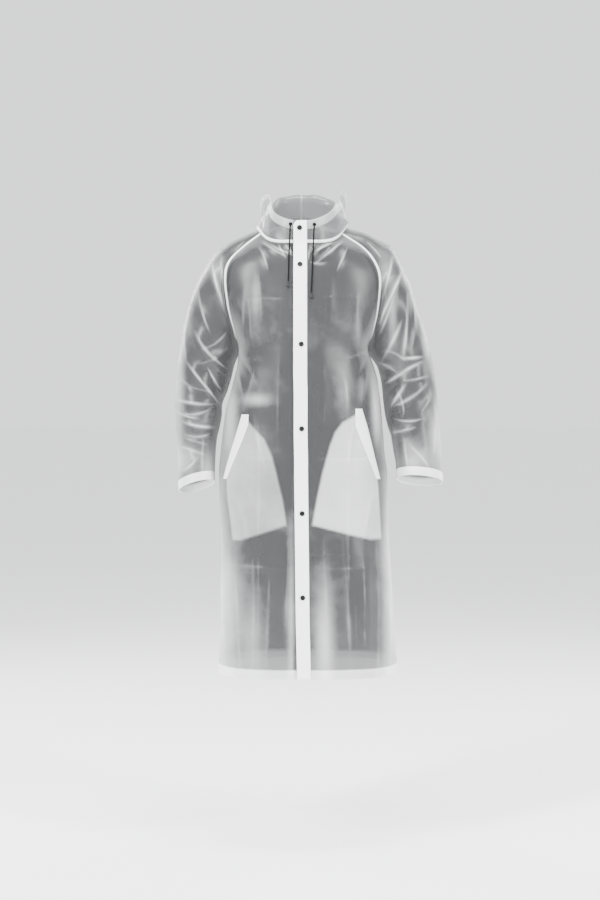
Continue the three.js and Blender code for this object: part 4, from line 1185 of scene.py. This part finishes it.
CORD_END = plastic("cord_end_black", "cord_end_black", grey(0.01, 0.001), grey(0.03, 0.001), 0.5, 1400)
EYELET = plastic("eyelet_black", "eyelet_black", grey(0.008, 0.001), grey(0.02, 0.001), 0.35, 900)


# Objects
def linked(made):
    """Puts an object into the scene."""
    bpy.context.scene.collection.objects.link(made)
    return made


def make_object(name, points, faces, material):
    mesh = bpy.data.meshes.new(name)
    mesh.from_pydata((np.asarray(points) / 1000).tolist(), [], faces)
    mesh.validate()
    mesh.polygons.foreach_set("use_smooth", [True] * len(mesh.polygons))
    mesh.materials.append(material)
    made = bpy.data.objects.new(name, mesh)
    return linked(made)


def grid_faces(rows, columns, outward, closed_from):
    at = np.arange(rows * columns).reshape(rows, columns)
    if closed_from is not None:
        at[closed_from:, -1] = at[closed_from:, 0]
    quads = np.stack([at[:-1, :-1], at[1:, :-1], at[1:, 1:], at[:-1, 1:]], axis=-1).reshape(-1, 4)
    return quads[:, ::-1] if outward > 0 else quads


def finish_piece(made, node):
    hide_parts(node)
    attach(made, "root")
    return made


def sheet_object(node, sheet, material):
    """A single skin of film on its solid's outer face."""
    rows, columns = sheet.points.shape[:2]
    faces = grid_faces(rows, columns, sheet.outward, sheet.closed_from)
    used, faces = np.unique(faces, return_inverse=True)
    faces = faces.reshape(-1, 4).tolist()
    made = make_object(f"cloth_{node}", sheet.points.reshape(-1, 3)[used], faces, material)
    # Per-point whiteness: doubled film, plus painted highlights along creases and in broad patches
    milk = made.data.attributes.new("milk", "FLOAT", "POINT")
    milk.data.foreach_set("value", sheet.milk.reshape(-1)[used].astype(np.float32))
    return finish_piece(made, node)


def strip_object(node, sheet, material):
    """A closed strip, its outer face the sheet's points."""
    rows, columns = sheet.points.shape[:2]
    inner = sheet.points - sheet.normals() * STRIP_WALL
    quads = grid_faces(rows, columns, sheet.outward, sheet.closed_from)
    count = rows * columns
    edges = {}
    for quad in quads.tolist():
        for a, b in zip(quad, quad[1:] + quad[:1]):
            if (b, a) in edges:
                del edges[b, a]
            else:
                edges[a, b] = True
    sides = [[b, a, a + count, b + count] for a, b in edges]
    faces = [*quads.tolist(), *(quads[:, ::-1] + count).tolist(), *sides]
    points = np.vstack([sheet.points.reshape(-1, 3), inner.reshape(-1, 3)])
    used, flat = np.unique(np.array(faces), return_inverse=True)
    made = make_object(f"cloth_{node}", points[used], flat.reshape(-1, 4).tolist(), material)
    return finish_piece(made, node)


def lathe(name, profile, sides, seat, axis, material):
    """A turned piece: its profile is pairs of radius and height along the axis."""
    axis = Vector(axis).normalized()
    turn = Vector((0, 0, 1)).rotation_difference(axis)
    points, faces = [], []
    for radius, height in profile:
        for k in range(sides):
            angle = 2 * math.pi * k / sides
            spot = Vector((radius * math.cos(angle), radius * math.sin(angle), height))
            points.append(tuple(turn @ spot + Vector(seat)))
    rings = len(profile)
    for ring in range(rings - 1):
        for k in range(sides):
            a, b = ring * sides + k, ring * sides + (k + 1) % sides
            faces.append((a, b, b + sides, a + sides))
    faces.append(tuple(reversed(range(sides))))
    faces.append(tuple(range((rings - 1) * sides, rings * sides)))
    return make_object(name, points, faces, material)


def rim(radius, height, wide, tall, steps):
    """A round rim of a turned profile, from its outside to its inside."""
    angles = np.linspace(0, math.pi, steps + 1)
    return [(radius + wide * math.cos(angle), height + tall * math.sin(angle)) for angle in angles]


FILMS = {"front": FILM, "back": FILM, "sleeve": SLEEVE_FILM, "hood": HOOD_FILM}
STRIP_FILMS = {
    "placket": PLACKET,
    "pocket_bag_right": BAG_FILM,
    "pocket_bag_left": BRIGHT_BAG,
    "hood_casing_right": CASING,
    "hood_casing_left": CASING,
}
for node, sheet in sheets.items():
    sheet_object(node, sheet, FILMS[node.split("_")[0]])
for node, sheet in strips.items():
    material = STRIP_FILMS.get(node, DOUBLED)
    if node.startswith("pocket_bag"):
        sheet_object(node, sheet, material)
    else:
        strip_object(node, sheet, material)

# Snaps, with a rolled rim round a dished cap and a small ring at its foot
SNAP_SIDES = 48
placket_middle = strips["placket"].points[:, PLACKET_STEPS // 2]
placket_normals = strips["placket"].normals()[:, PLACKET_STEPS // 2]
snap_profile = [
    *[(0.2, 0), (6.0, 0), (6.3, 0.3), (6.35, 1.1), (6.15, 1.9)],
    *rim(5.35, 2.1, 0.8, 0.75, 8),
    *[(4.1, 1.75), (3.0, 1.5), (1.8, 1.38), (0.2, 1.35)],
]
for number, (x, z) in enumerate(zip(SNAPS["x"], SNAPS["z"]), 1):
    y = np.interp(z, placket_middle[:, 2], placket_middle[:, 1])
    normal = unit(np.array([np.interp(z, placket_middle[:, 2], placket_normals[:, k]) for k in range(3)]))
    seat = np.array([x, y, z]) + normal * 0.05
    made = lathe(f"snap_cap_{number}", snap_profile, SNAP_SIDES, seat, normal, SNAP)
    finish_piece(made, f"snap_{number}")


# Drawcord ends
END_SIDES = 40
CORD_STEPS = 12
CORD_POINTS = 61


def cord_line(route):
    """A smooth line through a route, in even steps."""
    knots = np.array(route, float)
    knots = np.vstack([2 * knots[0] - knots[1], knots, 2 * knots[-1] - knots[-2]])
    line = []
    for i in range(1, len(knots) - 2):
        for t in np.linspace(0, 1, CORD_STEPS, endpoint=False):
            p0, p1, p2, p3 = knots[i - 1 : i + 3]
            square = 2 * p0 - 5 * p1 + 4 * p2 - p3
            cube = 3 * p1 - p0 - 3 * p2 + p3
            line.append((2 * p1 + (p2 - p0) * t + square * t**2 + cube * t**3) / 2)
    line.append(knots[-2])
    line = np.array(line)
    return walk(line, np.linspace(0, reach(line)[-1], CORD_POINTS))


stopper_profile = [
    *[(0.3, 0), (3.6, 0), (4.2, 0.5), (END_RADIUS, 1.6), (4.4, 3.2), (3.9, 6.5), (3.3, 9)],
    *[(3.4, 9.6), (3.4, 10.4), (2.9, 10.9), (2.4, END_LENGTH - 0.5), (2.1, END_LENGTH), (0.3, END_LENGTH)],
]
eyelet_profile = [(2.7, 0.05), (4.2, 0.05), (4.5, 0.3), *rim(3.6, 0.7, 0.9, 0.8, 6), (2.7, 0.05)]
for side, route in CORD_ROUTES.items():
    line = cord_line(route)
    curve = bpy.data.curves.new(f"cord_{side}", "CURVE")
    curve.dimensions = "3D"
    curve.bevel_depth = CORD_RADIUS / 1000
    curve.bevel_resolution = 6
    curve.use_fill_caps = True
    spline = curve.splines.new("POLY")
    spline.points.add(len(line) - 1)
    for spot, point in zip(spline.points, line):
        spot.co = (*(point / 1000), 1)
    curve.materials.append(CORD)
    made = linked(bpy.data.objects.new(f"free_cord_{side}", curve))
    finish_piece(made, f"drawcord_{side}")
    down = unit(line[-1] - line[-2])
    foot = line[-1] + down * (END_LENGTH + 0.3)
    stopper = lathe(f"stopper_{side}", stopper_profile, END_SIDES, foot, -down, CORD_END)
    finish_piece(stopper, f"cord_end_{side}")
    start = line[0]
    eyelet = lathe(f"eyelet_ring_{side}", eyelet_profile, END_SIDES, start, (0, -1, 0), EYELET)
    finish_piece(eyelet, f"eyelet_{side}")

# The floor, the light and the camera
FLOOR_Z = -1520
FLOOR_RINGS = (600, 1500, 3000, 6000, 12000, 25000, 60000)
FLOOR_SIDES = 64


def floor():
    """A wide pale floor: rings of faces round its middle."""
    points = [(0, 0, FLOOR_Z)]
    for radius in FLOOR_RINGS:
        for k in range(FLOOR_SIDES):
            angle = 2 * math.pi * k / FLOOR_SIDES
            points.append((radius * math.cos(angle), radius * math.sin(angle), FLOOR_Z))
    faces = []
    for k in range(FLOOR_SIDES):
        after = (k + 1) % FLOOR_SIDES
        faces.append((0, 1 + k, 1 + after))
        for inner in range(1, 1 + (len(FLOOR_RINGS) - 1) * FLOOR_SIDES, FLOOR_SIDES):
            outer = inner + FLOOR_SIDES
            faces.append((inner + k, outer + k, outer + after, inner + after))
    material, tree, shader, place = node_tree("floor", "floor")
    colour = speckled(tree, noise(tree, place, 1.3), grey(0.96, 0.006), grey(0.975, 0.005))
    put(tree, shader, {"Base Color": colour, "Roughness": 0.9, "Specular IOR Level": 0.1})
    return make_object("floor", points, faces, material)


floor()


def lamp(name, place, target, size, watts):
    data = bpy.data.lights.new(name, "AREA")
    data.shape = "RECTANGLE"
    data.size, data.size_y = size
    data.energy = watts
    made = linked(bpy.data.objects.new(name, data))
    made.location = place
    made.rotation_euler = (Vector(target) - Vector(place)).to_track_quat("-Z", "Y").to_euler()


lamp("key", (-2.1, -2.2, 1.5), (0, 0, -0.45), (0.5, 2.2), 300)
lamp("fill", (2.5, -1.9, 0.6), (0, 0, -0.6), (0.4, 2.4), 160)
lamp("top", (0.1, -0.5, 2.4), (0, 0, -0.3), (1.2, 0.8), 125)
lamp("back_left", (-1.9, 2.1, 1.0), (0, 0, -0.5), (0.5, 2.2), 90)
lamp("back_right", (2.0, 2.0, 1.2), (0, 0, -0.5), (0.5, 2.2), 90)

world = bpy.data.worlds.new("soft_room")
world.use_nodes = True
put(world.node_tree, world.node_tree.nodes["Background"], {"Color": (0.98, 0.99, 1, 1), "Strength": 1.6})
bpy.context.scene.world = world

CAMERA_PLACE = (-0.0125, -4.5, -0.4125)
CAMERA_PITCH = 1.75
camera_data = bpy.data.cameras.new("camera")
camera_data.lens = 72
camera_data.sensor_width = 36
camera = linked(bpy.data.objects.new("camera", camera_data))
camera.location = CAMERA_PLACE
camera.rotation_euler = (math.radians(90 - CAMERA_PITCH), 0, 0)
bpy.context.scene.camera = camera

# What each piece of cloth is cut from, by all but its longest twentieth
CUT_SHARE = 0.95
FOLDED_CUT_SHARE = 0.85


def cut(sheet, share):
    """Width, length and area in metres of a sheet's shape without its folds."""
    points = sheet.still / 1000
    across = points[:, 1:] - points[:, :-1]
    down = points[1:] - points[:-1]
    width = np.quantile(np.linalg.norm(across, axis=2).sum(axis=1), share)
    length = np.quantile(np.linalg.norm(down, axis=2).sum(axis=0), share)
    cells = np.linalg.norm(np.cross(across[:-1], down[:, :-1]), axis=2).sum() / 2
    cells += np.linalg.norm(np.cross(across[1:], down[:, 1:]), axis=2).sum() / 2
    return (float(width), float(length)), float(cells)


CARRIED = {
    "front_right": ("raglan_front_right", "front_facing", "hem_front_right", "pocket_welt_right"),
    "front_left": ("raglan_front_left", "hem_front_left", "pocket_welt_left"),
    "back": ("raglan_back_right", "raglan_back_left", "hem_back"),
    "sleeve_right": ("cuff_hem_right",),
    "sleeve_left": ("cuff_hem_left",),
    "hood_right": ("neck_seam_right", "hood_casing_right"),
    "hood_left": ("neck_seam_left", "hood_casing_left", "hood_seam"),
    "pocket_bag_right": (),
    "pocket_bag_left": (),
    "placket": (),
}
for node, carried in CARRIED.items():
    folded = node.startswith("hood")
    flat, area = cut({**sheets, **strips}[node], FOLDED_CUT_SHARE if folded else CUT_SHARE)
